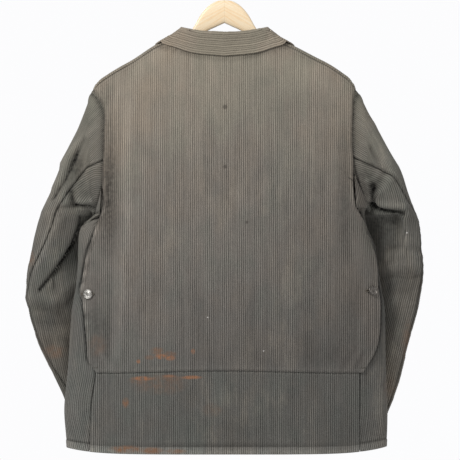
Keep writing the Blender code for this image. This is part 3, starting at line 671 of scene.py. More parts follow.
def hem_height(low):
    """Height by the hem, from the distance above its edge."""
    return turned(low, HEM_BAND, 1.2)


def hem_tone(low):
    """Painted shade in the groove at the hem's stitched fold, and a paler band below it."""
    return edge_tone("hem", low) + 0.6 * (1 - smooth((low - HEM_BAND + 2) / 3))


def roping(level):
    """Share of the twist in the pocket's free edge, which is strongest beside the button."""
    return smooth((level - 440) / 40) * (1 - smooth((level - 630) / 60))


# ---------------------------------------------------------------- the back's three pieces
def back_top(x):
    """Drop of the back panel's upper edge: the neckline, then the shoulder seam."""
    seam = ridge(x) + SHOULDER_LAP + 3 * SEAM_GAP
    return mix(neck_drop(x, True), seam, smooth((np.abs(x) - 74) / 8))


def back_surface(u, level):
    x, deep = around(True, u, level)
    x_top, _ = around(True, u, PANEL_TOP)
    share = (level - PANEL_TOP) / (WAIST_SEAM - PANEL_TOP)
    return body(x, mix(back_top(x_top), waist_drop(x), share), True, deep)


def back_distances(level, base, d_lo, d_hi):
    """Distances from the panel's sides, upper and lower edges, and the share of free edge."""
    top = (level - PANEL_TOP) * (WAIST_SEAM - 160) / (WAIST_SEAM - PANEL_TOP)
    low = waist_drop(base[..., 0]) + base[..., 2]
    return np.minimum(d_lo, d_hi), top, low, smooth((level - 400) / 24)


def back_relief(u, level, base, d_lo, d_hi):
    x, down = base[..., 0], -base[..., 2]
    side, top, low, free = back_distances(level, base, d_lo, d_hi)
    high = mix(sewn(side), turned(side), free) + POCKET_LIFT * smooth((level - 335) / 60) \
        * (1 - 0.43 * smooth((level - 706) / 26))
    high += np.where(np.abs(x) > 78, 1.0, 0.0) * sewn(top)
    high += turned(low, 9.0, 0.5) - 0.3 * bell(low, 1.6)
    high += puckers(level, d_hi - 3, 1.15 * roping(level), 8.5, 5.0)
    high += puckers(level, d_lo - 4, 0.25 * free, 12.0, 5.0)
    high += puckers(level, side - 5, 0.3 * (1 - free), 13.0, 6.0)
    high += puckers(x, low - 5, 0.32, 15.0, 9.0)
    return high + swell(x, down, True)


def back_shade(u, level, base, d_lo, d_hi):
    side, top, low, free = back_distances(level, base, d_lo, d_hi)
    # painted shade in the seam's join and the free edge's stitch groove, painted highlight and wear
    # on the turned edge
    tone = mix(edge_tone("sewn side", side), edge_tone("free side", side), free)
    # painted light and shade on the twisted edge's puckers, and a painted shadow beside that edge
    tone += roping(level) * (puckers(level, d_hi - 3.5, 0.75, 8.5, 5.0)
                             + edge_tone("rope", d_hi))
    # painted shade in the waist and shoulder seams
    tone += edge_tone("above waist", low) + edge_tone("shoulder", top)
    x, down = base[..., 0], -base[..., 2]
    # painted shadow cast by the collar on the back just under its edge
    collar_edge = np.interp(np.abs(x), *zip(*[row[3:] for row in COLLAR[:4]]))
    tone -= 0.75 * bell(down - collar_edge - 3, 4.0) * (1 - smooth((np.abs(x) - 116) / 14))
    # patches of painted shade and light mixed with the cloth's own mottling; painted shade in the
    # folds' troughs, painted highlights on their ridges
    return tone + patches(BACK_SHADES, x, down, 4) + 0.16 * strokes(x, down, BACK_FOLDS)


def edge_arcs(rows, side, lines, level_at, gap):
    """Lengths of cloth at which each row of a piece of the back ends, on one side."""
    return np.array([WRAPS[side, True].arc_at(float(table(lines[side], level_at(t), 1)) - gap,
                                              level_at(t)) for t in rows])


def real_edge(side, back, rows, line, arcs, surface, level_at, gap, most):
    """Lengths of cloth at which a piece meets an edge line, by the drop it really has there."""
    wrap, sign = WRAPS[side, back], 1 if side == "left" else -1
    arcs = arcs.copy()
    for _ in range(14):
        spot = surface(sign * arcs if back else arcs, rows)
        out = table(line, -spot[..., 2], 1) - gap
        new = np.array([wrap.arc_at(float(o), level_at(t)) for o, t in zip(out, rows)])
        arcs = np.where(rows < most, mix(arcs, new, 0.6), arcs)
    return arcs


def back_panel():
    levels = spaced(PANEL_TOP, WAIST_SEAM, 6.6)
    left, right = (real_edge(side, True, levels, BACK_EDGE[side],
                             edge_arcs(levels, side, BACK_EDGE, lambda t: t, SEAM_GAP),
                             back_surface, lambda t: t, SEAM_GAP, EDGE_SETTLED)
                   for side in SIDES)
    lo, hi = -right, left
    obj, touch = shell("jacket_back_panel", back_surface, columns(lo.min(), hi.max()), levels,
                       lo, hi, 1, back_relief, shade=back_shade)
    thread = Thread()
    for away in (LINE_1, BACK_LINE_2):
        for start, end in ((239, 398), BAR_TACKS):
            t = np.linspace(start, end, 160)
            thread.run(*touch(np.interp(t, levels, hi) - away, t))
            thread.run(*touch(np.interp(t, levels, lo) + away, t))
        level = WAIST_SEAM - away
        thread.level(touch, np.interp(level, levels, lo) + 9, np.interp(level, levels, hi) - 9,
                     level, 260)
        for sign in (1, -1):
            thread.level(touch, sign * 84, sign * 226, PANEL_TOP + away * 0.87, 90)
    for level in BAR_TACKS:
        for edge, inward in ((hi, -1), (lo, 1)):
            for row in (-0.9, -0.3, 0.3, 0.9):
                u = np.interp(level, levels, edge) + inward * np.linspace(0.8, 10.0, 12)
                thread.run(*touch(u, np.full(12, level + row)), pitch=1.5, size=1.9, wide=0.7,
                           high=0.6)
    return obj, thread.make("stitching_back_panel")


def seam_levels(top, t):
    return mix(top, hem_drop(243.0), t)


def lower_surface(u, t):
    x_low, _ = around(True, u, 870.0)
    down = mix(waist_drop(x_low), hem_drop(x_low), t)
    x, deep = around(True, u, down)
    return body(x, down, True, deep)


def lower_relief(u, t, base, d_lo, d_hi):
    x, down = base[..., 0], -base[..., 2]
    side, low, top = np.minimum(d_lo, d_hi), hem_drop(x) - down, down - waist_drop(x)
    high = hem_height(low) - 1.0 * bell(side, 1.8) - 0.6 * bell(top, 2.0)
    high += puckers(x, low - 9, 0.35, 13.0, 7.0) + puckers(x, top - 3, 0.3, 15.0, 8.0)
    return high + swell(x, down, True)


def lower_shade(u, t, base, d_lo, d_hi):
    x, down = base[..., 0], -base[..., 2]
    side, low, top = np.minimum(d_lo, d_hi), hem_drop(x) - down, down - waist_drop(x)
    # painted shade in the side seams' joins and the hem's groove, painted highlight on the top edge
    # under the waist seam, painted shade and light on the folds, and a paler hem band
    return (edge_tone("side seam", side) + hem_tone(low) + edge_tone("back hem", low)
            + edge_tone("below waist", top) + 0.16 * strokes(x, down, BACK_FOLDS))


def back_lower():
    rows = share_rows(LOWER_LONG, 6.4, BY_HEM)
    hi, right = (edge_arcs(rows, side, SIDE_SEAM, lambda t: seam_levels(WAIST_SEAM, t),
                           2 * SEAM_GAP) for side in SIDES)
    lo = -right
    obj, touch = shell("jacket_back_lower", lower_surface, columns(lo.min(), hi.max()), rows,
                       lo, hi, 1, lower_relief, dt=0.004, shade=lower_shade)
    thread = Thread()
    thread.level(touch, lo[-1] + 1, hi[-1] - 1, 1 - HEM_BAND / LOWER_LONG)
    thread.level(touch, lo[0] + 1, hi[0] - 1, 3.0 / LOWER_LONG)
    return obj, thread.make("stitching_back_lower")


def inner_surface(u, t):
    down = mix(INNER_TOP, WAIST_SEAM - SEAM_GAP, t)
    x, deep = around(True, u, down)
    return body(x, down, True, deep)


def back_inner():
    rows = share_rows(INNER_LONG, 12.0, (4,))
    hi, right = (edge_arcs(rows, side, SIDE_SEAM, lambda t: mix(INNER_TOP, WAIST_SEAM, t),
                           2 * SEAM_GAP) for side in SIDES)
    return shell("jacket_pocket_wall", inner_surface, columns(-right.max(), hi.max()), rows,
                 -right, hi, 1, lambda u, t, base, *_: swell(base[..., 0], -base[..., 2], True),
                 dt=0.004)[0]


# ---------------------------------------------------------------- the two fronts
def front_parts(side):
    """The surface of a front, its rows and its edges, as lengths of cloth from the middle."""
    wrap, sign = WRAPS[side, False], 1 if side == "left" else -1
    under, side_top = UNDERARM[side], SIDE_SEAM_TOP[side]
    at_side = float(wrap.arcs[int(np.argmax(wrap.out(wrap.arcs, under)))])

    def seam_arc(level):
        return wrap.arc_at(float(table(SIDE_SEAM[side], level, 1)), level, True)

    at_seam = seam_arc(side_top)

    def surface(u, t):
        x_tip = wrap.out(u, TIP)
        top = np.where(np.abs(x_tip) < NECK_OUT, neck_drop(x_tip, False), ridge(sign * x_tip))
        edge_level = mix(TIP, under, np.clip(t, -0.05, 1))
        x_up = wrap.out(u, edge_level)
        upper = body(sign * x_up, mix(top, under, t), False, wrap.depth(u, edge_level))
        x_low = wrap.out(u, 870.0)
        share = np.clip((u - at_side) / (at_seam - at_side), 0, 1)
        start = mix(under, side_top, share ** 1.6)
        down = mix(start, hem_drop(x_low), t - 1)
        lower = body(sign * wrap.out(u, down), down, False, wrap.depth(u, down))
        lap = np.clip(-t, 0, 1.05)
        x_lap = sign * (x_tip - 2.0 * lap * smooth(x_tip / TIP_OUT))
        over = body(x_lap, ridge(x_lap) + SHOULDER_LAP * lap, True)
        t = t[..., None] * np.ones(3)
        wide = (np.abs(x_tip) < NECK_OUT + 0.2)[..., None]
        return np.where(t > 1, lower, np.where((t < 0) & ~wide, over, upper))

    def level_of(t):
        return mix(TIP, under, max(t, 0)) if t <= 1 else mix(side_top, hem_drop(243.0), t - 1)

    return surface, wrap, sign, at_side, seam_arc, level_of


def front_relief(side):
    def relief(u, t, base, d_lo, d_hi):
        x, down = base[..., 0], -base[..., 2]
        back = base[..., 1] > 0
        low = hem_drop(x) - down
        high = turned(d_lo, 6.0, 0.5) + hem_height(low) * (t > 1)
        high += np.where(t > 1, -1.1 * bell(d_hi, 1.8) + 0.3 * smooth(d_hi / 2)
                         * (1 - smooth((d_hi - 8.5) / 3)), sewn(d_hi))
        lap = (t + 1) * SHOULDER_LAP
        high += np.where((np.abs(x) > NECK_OUT) & (t < 0.1), -0.8 * bell(lap, 1.5), 0.0)
        high += puckers(down, d_hi - 5, 0.35, 13.0, 7.0)
        high += puckers(x, low - 9, 0.35, 13.0, 7.0) * (t > 1)
        high += puckers(down, d_lo - 3, 0.3, 14.0, 6.0)
        if side == "right":
            high -= LAP_SINK * (1 - smooth((u - 22) / 24))
        free = np.where(t > 1, 1.0, smooth(t / 0.12))
        return high + swell(x, down, back & (t > 0)) * free
    return relief


def front_shade(u, t, base, d_lo, d_hi):
    x, down = base[..., 0], -base[..., 2]
    low = np.where(t > 1, hem_drop(x) - down, 50.0)
    # painted shade in the armhole and side seams and the front edge's groove, with paler bands
    # beside them
    tone = (np.where(t > 1, -0.4, -0.8) * bell(d_hi, 2.2) + 0.25 * bell(d_hi - 5, 4.0)
            + edge_tone("front edge", d_lo) + hem_tone(low) + edge_tone("front hem", low))
    # painted shadow cast by the back panel's raised edge on the fronts beside it
    rim = np.where(x >= 0, *(table(BACK_EDGE[side], down, 1) for side in SIDES))
    back = (base[..., 1] > 0) * smooth((down - 396) / 12) * (1 - smooth((down - 716) / 12))
    tone -= 1.9 * back * bell(np.abs(x) - rim - 2.6, 2.8)
    return tone + patches(SIDE_SHADES, x, down)


def front(side):
    surface, wrap, sign, at_side, seam_arc, level_of = front_parts(side)
    upper = share_rows(FRONT_UP, 6.8, (0.6, 1.8, 3.5, 6))
    lower = 1 + share_rows(FRONT_DOWN, 6.8, BY_HEM)
    rows = np.concatenate([[-1.0, -0.75, -0.45, -0.2], upper, lower[1:]])
    hi = np.array([wrap.arc_at(float(table(ARMHOLE[side], level_of(t), 1)) - SEAM_GAP,
                               level_of(t)) if t < 1 else seam_arc(level_of(t)) for t in rows])
    hi = real_edge(side, False, rows, ARMHOLE[side], hi, surface, level_of, SEAM_GAP, 1.0)
    lo = np.full(len(rows), -LAP)

    def shown(arc, t):
        return np.where(t < 0, wrap.out(arc, TIP) > NECK_OUT + 1.0,
                        (t > 1) | (arc < at_side + 0.6) | (t < 0.97))

    obj, touch = shell("jacket_front_" + side, surface, columns(-LAP, hi.max()), rows, lo, hi,
                       -sign, front_relief(side), dt=0.004, shown=shown, shade=front_shade)
    thread = Thread()
    for away in (LINE_1, LINE_2):
        t = np.linspace(0.05, 0.97, 80)
        thread.run(*touch(np.interp(t, rows[:-1], hi[:-1]) - away, t))
        t = np.linspace(1.03, 1.985, 160)
        thread.run(*touch(np.array([seam_arc(level_of(v)) for v in t]) - away, t))
    for away in (2.5, HOLES_LINE):
        t = np.concatenate([np.linspace(0.02, 0.99, 80), np.linspace(1.01, 1.985, 150)])
        thread.run(*touch(np.full(len(t), away - LAP), t))
    thread.level(touch, -LAP + 2, hi[-1] - 2, 2 - HEM_BAND / FRONT_DOWN)
    return obj, thread.make("stitching_front_" + side)


# ---------------------------------------------------------------- sleeves
SLEEVE_FOLDS = {
    # height, width, lean, points of (out, drop), as seen from behind
    "left": [
        (1.8, 7, 0.0, (228, 300), (255, 320), (273, 343), (290, 364)),
        (-2.4, 5, 0.5, (251, 322), (262, 341), (271, 364), (284, 389), (296, 407), (306, 424)),
        (1.4, 6, 0.0, (262, 330), (276, 352), (290, 380), (306, 410)),
        (-3.0, 3.4, 0.5, (230, 446), (244, 443), (265, 443)), (-1.8, 6, 0, (270, 418), (268, 440)),
        (-1.6, 6, 0.4, (265, 444), (280, 444), (296, 448)),
        (-2.6, 3.8, 0.5, (258, 462), (260, 480), (275, 514), (289, 536), (306, 560), (330, 592)),
        (2.4, 6, 0.0, (236, 432), (248, 432), (262, 432)), (1.6, 6, 0, (286, 420), (282, 436)),
        (1.2, 10, 0.0, (300, 470), (318, 505), (338, 545)),
        (-1.1, 8, 0.0, (322, 470), (336, 505), (347, 540)),
        (-1.5, 7, 0.3, (300, 632), (325, 625), (350, 628)),
        (1.3, 9, 0.0, (292, 612), (322, 606), (352, 604)),
        (-1.1, 7, 0.2, (262, 652), (296, 648), (330, 652)),
        (1.0, 9, 0.0, (258, 672), (292, 668), (326, 672)),
        (-1.2, 7, 0.3, (240, 590), (268, 604), (292, 630)),
        (1.1, 8, 0.0, (262, 574), (288, 590), (312, 618)),
        (0.9, 10, 0.0, (300, 700), (276, 760), (262, 800)),
        (-0.9, 9, 0.0, (278, 690), (254, 750), (240, 800)), (-1.3, 7, 0.0, (296, 344), (308, 366)),
        (1.0, 9, 0.0, (282, 300), (300, 340)),
    ],
    "right": [
        (-3.9, 4.2, 0.5, (264, 438), (272, 445), (284, 450), (322, 454)),
        (-2.0, 5, 0.3, (263, 340), (270, 352), (280, 362)),
        (-1.2, 5, 0.3, (290, 520), (320, 514), (350, 520)),
        (1.0, 7, 0.0, (288, 534), (320, 528), (350, 532)),
        (-1.0, 5, 0.3, (276, 586), (306, 580), (340, 584)),
        (2.8, 7, 0.0, (282, 438), (300, 441), (322, 442)), (-2.6, 5, 0, (266, 404), (270, 440)),
        (2.4, 6, 0.0, (256, 396), (262, 420), (266, 432)), (2.0, 6, 0, (278, 416), (276, 432)),
        (1.7, 9, 0.2, (325, 452), (328, 480), (325, 514)),
        (-1.6, 8, 0.3, (306, 462), (308, 500), (300, 540)),
        (-1.9, 6, 0.4, (288, 380), (276, 400), (262, 418)),
        (1.3, 8, 0.0, (304, 384), (292, 404), (276, 420)),
        (-1.5, 7, 0.3, (282, 572), (312, 566), (346, 570)),
        (1.4, 9, 0.0, (278, 552), (312, 546), (348, 548)),
        (-1.1, 7, 0.2, (268, 600), (300, 592), (338, 598)),
        (1.1, 9, 0.0, (264, 622), (298, 612), (336, 618)),
        (-0.9, 8, 0.0, (258, 652), (290, 644), (322, 652)),
        (0.9, 10, 0.0, (312, 660), (296, 730), (280, 800)),
        (-0.9, 9, 0.0, (290, 660), (272, 730), (256, 800)),
        (0.9, 9, 0.0, (262, 300), (276, 330), (296, 366)),
        (-1.0, 8, 0.0, (282, 300), (298, 330), (312, 356)),
    ],
}
SLEEVE_SHADES = {
    # out, drop, half width, half height, how much paler (or darker) it is there: mostly painted
    # shade in the gaps by the body and under the arms, and painted light, partly the cloth's own
    # colour
    "left": [
        (266, 380, 16, 30, -0.7), (262, 364, 12, 22, -0.4), (282, 424, 10, 22, -0.5),
        (226, 474, 12, 16, -0.2), (250, 453, 18, 10, 0.9), (318, 410, 12, 70, 0.3),
        (330, 505, 14, 40, 0.3), (246, 290, 16, 36, -0.35), (240, 560, 16, 70, -0.55),
        (205, 700, 18, 80, -0.45), (323, 628, 30, 30, -0.25), (290, 660, 50, 60, -0.2),
        (269, 372, 20, 34, -0.3), (251, 422, 14, 16, -0.3),
    ],
    "right": [
        (262, 490, 22, 44, -0.95), (262, 410, 12, 44, -0.6), (300, 470, 40, 16, -0.5),
        (274, 420, 12, 18, -0.6), (289, 496, 18, 30, -0.75), (300, 310, 26, 60, 0.8),
        (325, 466, 14, 24, -0.45), (286, 362, 16, 26, 0.35), (342, 430, 8, 60, 0.3),
        (334, 640, 20, 80, 0.5), (300, 700, 40, 80, 0.4), (302, 756, 34, 60, 0.9),
        (320, 700, 30, 60, 0.25), (270, 710, 14, 90, 0.5), (248, 590, 12, 60, -0.4),
        (290, 400, 22, 10, -0.3), (251, 402, 13, 38, -0.9), (262, 372, 12, 16, -0.3),
        (253, 284, 20, 24, 0.25), (280, 362, 14, 16, 0.2), (301, 742, 18, 34, 0.25),
    ],
}
SLEEVE_CREASE_SHADOWS = {
    # painted shadows, sharp dark lines in the sleeves' creases: tone, width, lean, points of (out,
    # drop)
    "left": [
        (-1.7, 2.4, 0.4, (258, 474), (262, 486), (275, 515), (289, 538), (306, 562), (334, 593)),
        (-1.6, 2.2, 0.0, (246, 441), (265, 442.5)), (-1.2, 5.0, 0.0, (276, 414), (272, 436)),
        (-1.1, 3.2, 0.5, (262, 341), (271, 361), (282, 387), (296, 408), (310, 430)),
        (-0.5, 3.0, 0.0, (284, 462), (292, 490), (296, 520)),
    ],
    "right": [
        (-1.1, 2.4, 0.3, (264, 439), (275, 448), (296, 453), (322, 457)),
        (-0.9, 2.6, 0.0, (264, 420), (266, 440)), (-0.6, 4.0, 0.0, (262, 404), (268, 412)),
        (-0.5, 2.6, 0.3, (300, 566), (330, 572), (352, 566)),
        (-0.4, 2.6, 0.3, (296, 588), (330, 592), (350, 586)),
    ],
}
SLEEVE_FRONT_FOLDS = [
    # the same kinds of fold on the sleeves' hidden fronts
    (-2.0, 7, 0.4, (258, 420), (284, 440), (322, 446)),
    (1.6, 9, 0.0, (262, 398), (290, 416), (324, 420)),
    (-1.8, 7, 0.4, (262, 340), (276, 380), (300, 420)),
    (1.5, 9, 0.0, (280, 336), (296, 376), (316, 410)),
    (-1.6, 7, 0.3, (250, 560), (290, 580), (340, 566)),
    (1.5, 9, 0.0, (254, 540), (292, 556), (342, 544)),
    (-1.5, 7, 0.3, (244, 600), (284, 620), (334, 606)),
    (1.3, 9, 0.0, (240, 624), (280, 644), (330, 630)),
    (-1.2, 8, 0.2, (236, 660), (272, 676), (318, 664)),
    (1.0, 10, 0.0, (300, 690), (276, 760), (260, 800)),
    (-1.0, 9, 0.0, (268, 690), (244, 750), (232, 800)),
]


SLEEVE_DEEP = 1.9      # how much deeper the folds on the sleeves' backs are than their rows


class Sleeve:
    """A sleeve's section at any place along it, measured round by the length of cloth."""

    def __init__(self, side):
        self.side, self.sign = side, 1 if side == "left" else -1
        self.rows = [(i, *row) for i, row in enumerate(SLEEVE[side])]
        self.last = len(self.rows) - 1
        self.seams, self.folds = self.lines()
        self.steps = np.arange(-1.0, self.last + 0.01, 0.125)
        self.turn = np.linspace(-math.pi, 2 * math.pi, 541)
        grid = self.point(self.turn[None, :], self.steps[:, None], flat=True)
        gaps = np.linalg.norm(np.diff(grid, axis=1), axis=2)
        self.length = np.concatenate([np.zeros((len(self.steps), 1)), np.cumsum(gaps, 1)], 1)
        middle = np.linalg.norm(np.diff(grid[:, 180], axis=0), axis=1)
        self.down = np.concatenate([[0], np.cumsum(middle)])

    def crossing(self, row, line):
        """Share of the way from the outer to the inner edge where a line crosses a section."""
        ox, oz, ix, iz = row[1], row[2], row[4], row[5]
        dx, dz = ix - ox, iz - oz
        for (ax, az), (bx, bz) in zip(line, line[1:]):
            ex, ez = bx - ax, bz - az
            cross = dx * ez - dz * ex
            if abs(cross) < 1e-9:
                continue
            share = ((ax - ox) * ez - (az - oz) * ex) / cross
            along = ((ax - ox) * dz - (az - oz) * dx) / cross
            if -0.001 <= along <= 1.001 and -0.2 <= share <= 1.0:
                return max(share, 0.004)
        return None

    def lines(self):
        """Angle of the back seam and share of the fold at each row, from the armhole on."""
        seams = [self.crossing(row, SLEEVE_SEAM[self.side]) for row in self.rows]
        known = [i for i, seam in enumerate(seams) if seam is not None]
        angles = [math.acos(1 - 2 * min(seams[i], 1.0)) for i in known]
        at = np.array([-1.0] + known, float)
        seam = (at, np.array([math.radians(97)] + angles))
        folds = [(i, self.crossing(row, SLEEVE_FOLD[self.side]))
                 for i, row in enumerate(self.rows) if row[9]]
        folds = [(i, share) for i, share in folds if share is not None]
        return seam, (np.array([i for i, _ in folds], float), np.array([f for _, f in folds]))

    def armhole(self, angle):
        under = UNDERARM[self.side]
        down = mix(TIP, under, (1 - np.cos(angle)) / 2)
        out = table(ARMHOLE[self.side], down, 1)
        point = body(self.sign * out, down, np.sin(angle) >= 0)
        point[..., 0] -= self.sign * (1.0 + TUCK * (1 - np.maximum(np.cos(angle), 0) ** 8))
        point[..., 1] *= 0.955
        return point

    def point(self, angle, t, flat=False):
        at = np.clip(t, 0, self.last)
        ox, oz, oy, ix, iz, iy, back, front, fold = (
            table(self.rows, at, column) for column in range(1, 10))
        share = (1 - np.cos(angle)) / 2
        sine = np.sin(angle)
        y = mix(oy, iy, share) + np.where(sine >= 0, back, front) * sine
        if not flat:
            step = smooth((share - np.interp(t, *self.folds)) / 0.022 + 0.2)
            y = y - np.where(sine > 0, np.maximum(fold, 0) * sine * step, 0.0)
        x, y, z = np.broadcast_arrays(self.sign * mix(ox, ix, share), y, -mix(oz, iz, share))
        ring = np.stack([x, y, z], -1)
        lead = np.clip(-t, 0, 1.05)[..., None]
        if not np.any(lead > 0):
            return ring
        bulge = 2.0 * np.sin(math.pi * lead) * np.maximum(np.cos(angle), 0)[..., None] ** 2
        return (ring + (self.armhole(angle + 0 * t) - ring) * lead
                + bulge * np.array([self.sign, 0, 0.45]))

    def places(self, t, base, d_lo, d_hi):
        """Out, drop, share of the back, and distances from the seams, the cuff and the head."""
        return (np.abs(base[..., 0]), -base[..., 2], smooth((base[..., 1] + 42) / 14),
                np.minimum(d_lo, d_hi), (self.last - t) * SLEEVE_STEP, (t + 1) * HEAD_STEP)

    def angle_at(self, arc, t, start):
        """Angle at a length of cloth from the start angle, at a place along the sleeve."""
        r = np.clip(np.interp(t, self.steps, np.arange(len(self.steps))), 0,
                    len(self.steps) - 1.001)
        i = r.astype(int)
        r = r - i
        result = np.zeros(r.shape)
        for share, row in ((1 - r, i), (r, i + 1)):
            for k in np.unique(row):
                spot = row == k
                zero = np.interp(start, self.turn, self.length[k])
                result[spot] += share[spot] * np.interp(arc[spot] + zero, self.length[k],
                                                        self.turn)
        return result

    def arc_of(self, angle, t, start):
        at = np.interp(t, self.steps, np.arange(len(self.steps)))
        step = np.minimum(at.astype(int), len(self.steps) - 2)
        arcs = [[np.subtract(*np.interp([angle_k, start], self.turn, self.length[k + j]))
                 for j in (0, 1)] for angle_k, k in zip(angle, step)]
        return mix(np.array(arcs)[:, 0], np.array(arcs)[:, 1], at - step)


def sleeve_relief(sleeve):
    def relief(u, t, base, d_lo, d_hi):
        out, down, back, seam_side, cuff, head = sleeve.places(t, base, d_lo, d_hi)
        high = -1.1 * bell(seam_side, 1.8) + 0.25 * (smooth(seam_side / 2)
                                                     - smooth((seam_side - 8.5) / 3))
        high += turned(cuff, CUFF_BAND, 0.8) - 0.5 * bell(cuff - 3, 1.4)
        high -= 0.8 * bell(head - TUCK, 2.5)
        high += puckers(down, seam_side - 5, 0.3, 14.0, 7.0)
        high += mix(strokes(out, down, SLEEVE_FRONT_FOLDS),
                    SLEEVE_DEEP * strokes(out, down, SLEEVE_FOLDS[sleeve.side]), back) \
            * smooth(t + 0.8)
        soft = 0.8 * wave(out, down * 0.8, 120, 2 + sleeve.sign) + 0.35 * wave(out, down, 52, 5)
        return high + soft * smooth(t + 1)
    return relief


def sleeve_shade(sleeve):
    def shade(u, t, base, d_lo, d_hi):
        out, down, back, seam_side, cuff, head = sleeve.places(t, base, d_lo, d_hi)
        # painted shade in the seam's join, the cuff's groove and where the head runs in under the
        # body's edge, paler bands by the seam and cuff
        tone = (edge_tone("sleeve seam", seam_side) + edge_tone("cuff", cuff)
                + edge_tone("head", head))
        # painted shade in the folds' troughs, painted highlight on their ridges
        folds = strokes(out, down, SLEEVE_FOLDS[sleeve.side])
        tone += back * np.clip(0.28 * folds, -1.0, 0.6)
        # painted shadows in the creases, then the patches' painted shade and light
        tone += back * strokes(out, down, SLEEVE_CREASE_SHADOWS[sleeve.side])
        return np.clip(tone + patches(SLEEVE_SHADES[sleeve.side], out, down), -2.1, 1.2)
    return shade


def sleeve_pieces(side):
    sleeve = Sleeve(side)
    front_angle = -math.acos(1 - 2 * FRONT_SEAM)
    fine = np.concatenate([np.arange(0.0, sleeve.last - 0.8, 0.25), np.arange(*ELBOW, 0.125)])
    rows = np.concatenate([[-1.0, -0.93, -0.8, -0.6, -0.4, -0.2], fine,
                           sleeve.last - np.array([0.8, 0.7, 0.5, 0.34, 0.24, 0.16, 0.1, 0.05, 0])])
    rows = np.unique(np.round(rows, 3))
    seam = np.interp(rows, *sleeve.seams)
    made = []
    for piece, start in (("upper", 0.0), ("under", math.pi)):
        def surface(u, t, start=start):
            u, t = np.broadcast_arrays(u, t)
            return sleeve.point(sleeve.angle_at(u, t, start), t)

        back_edge = sleeve.arc_of(seam, rows, start)
        if piece == "upper":
            lo = sleeve.arc_of(np.full(len(rows), front_angle), rows, start) + SLEEVE_GAP
            hi = back_edge - SLEEVE_GAP
        else:
            lo = back_edge + SLEEVE_GAP
            hi = sleeve.arc_of(np.full(len(rows), math.tau + front_angle), rows, start) \
                - SLEEVE_GAP

        def along(u, t):
            return np.interp(t, sleeve.steps, sleeve.down)

        name = "jacket_sleeve_%s_%s" % (side, piece)
        obj, touch = shell(name, surface, columns(lo.min(), hi.max()), rows, lo, hi,
                           1 if side == "right" else -1, sleeve_relief(sleeve), dt=0.06,
                           along=along, shade=sleeve_shade(sleeve))
        thread = Thread()
        t = np.linspace(-0.6, sleeve.last - 0.04, 260)
        for away in ((LINE_1, LINE_2) if piece == "upper" else ()):
            thread.run(*touch(np.interp(t, rows, lo) + away, t))
            thread.run(*touch(np.interp(t, rows, hi) - away, t))
        for place in (0.11, 0.8):
            at = sleeve.last - place
            thread.level(touch, np.interp(at, rows, lo) + 1, np.interp(at, rows, hi) - 1, at, 120)
        made.append((obj, thread.make("stitching_sleeve_%s_%s" % (side, piece))))
    return made


# ---------------------------------------------------------------- collar
COLLAR_ROWS = 2.5 + 5.8 * np.arange(7)      # the rows of stitching, from the outer edge


def facing_out(x, drop, back, reach=3.0):
    """Outward normals of the body, from points a reach to each side."""
    across = body(x + reach, drop, back) - body(x - reach, drop, back)
    down = body(x, drop + reach, back) - body(x, drop - reach, back)
    normal = unit(np.cross(across, down))
    return np.where(((normal[..., 1] > 0) == back)[..., None], normal, -normal)


def clear_of_body(point, back, gap):
    """Points moved out until they lie the gap away from the body."""
    x, drop = point[..., 0], -point[..., 2]
    under = body(x, np.maximum(drop, ridge(x) + 0.1), back)
    out = facing_out(x, np.maximum(drop, ridge(x) + 3.2), back)
    short = gap - ((point - under) * out).sum(-1)
    moved = point + out * np.maximum(short, 0)[..., None]
    lift = np.maximum(moved[..., 2], gap - ridge(moved[..., 0]))
    low = -moved[..., 2] < ridge(moved[..., 0]) + gap
    moved[..., 2] = np.where(low, lift, moved[..., 2])
    return moved


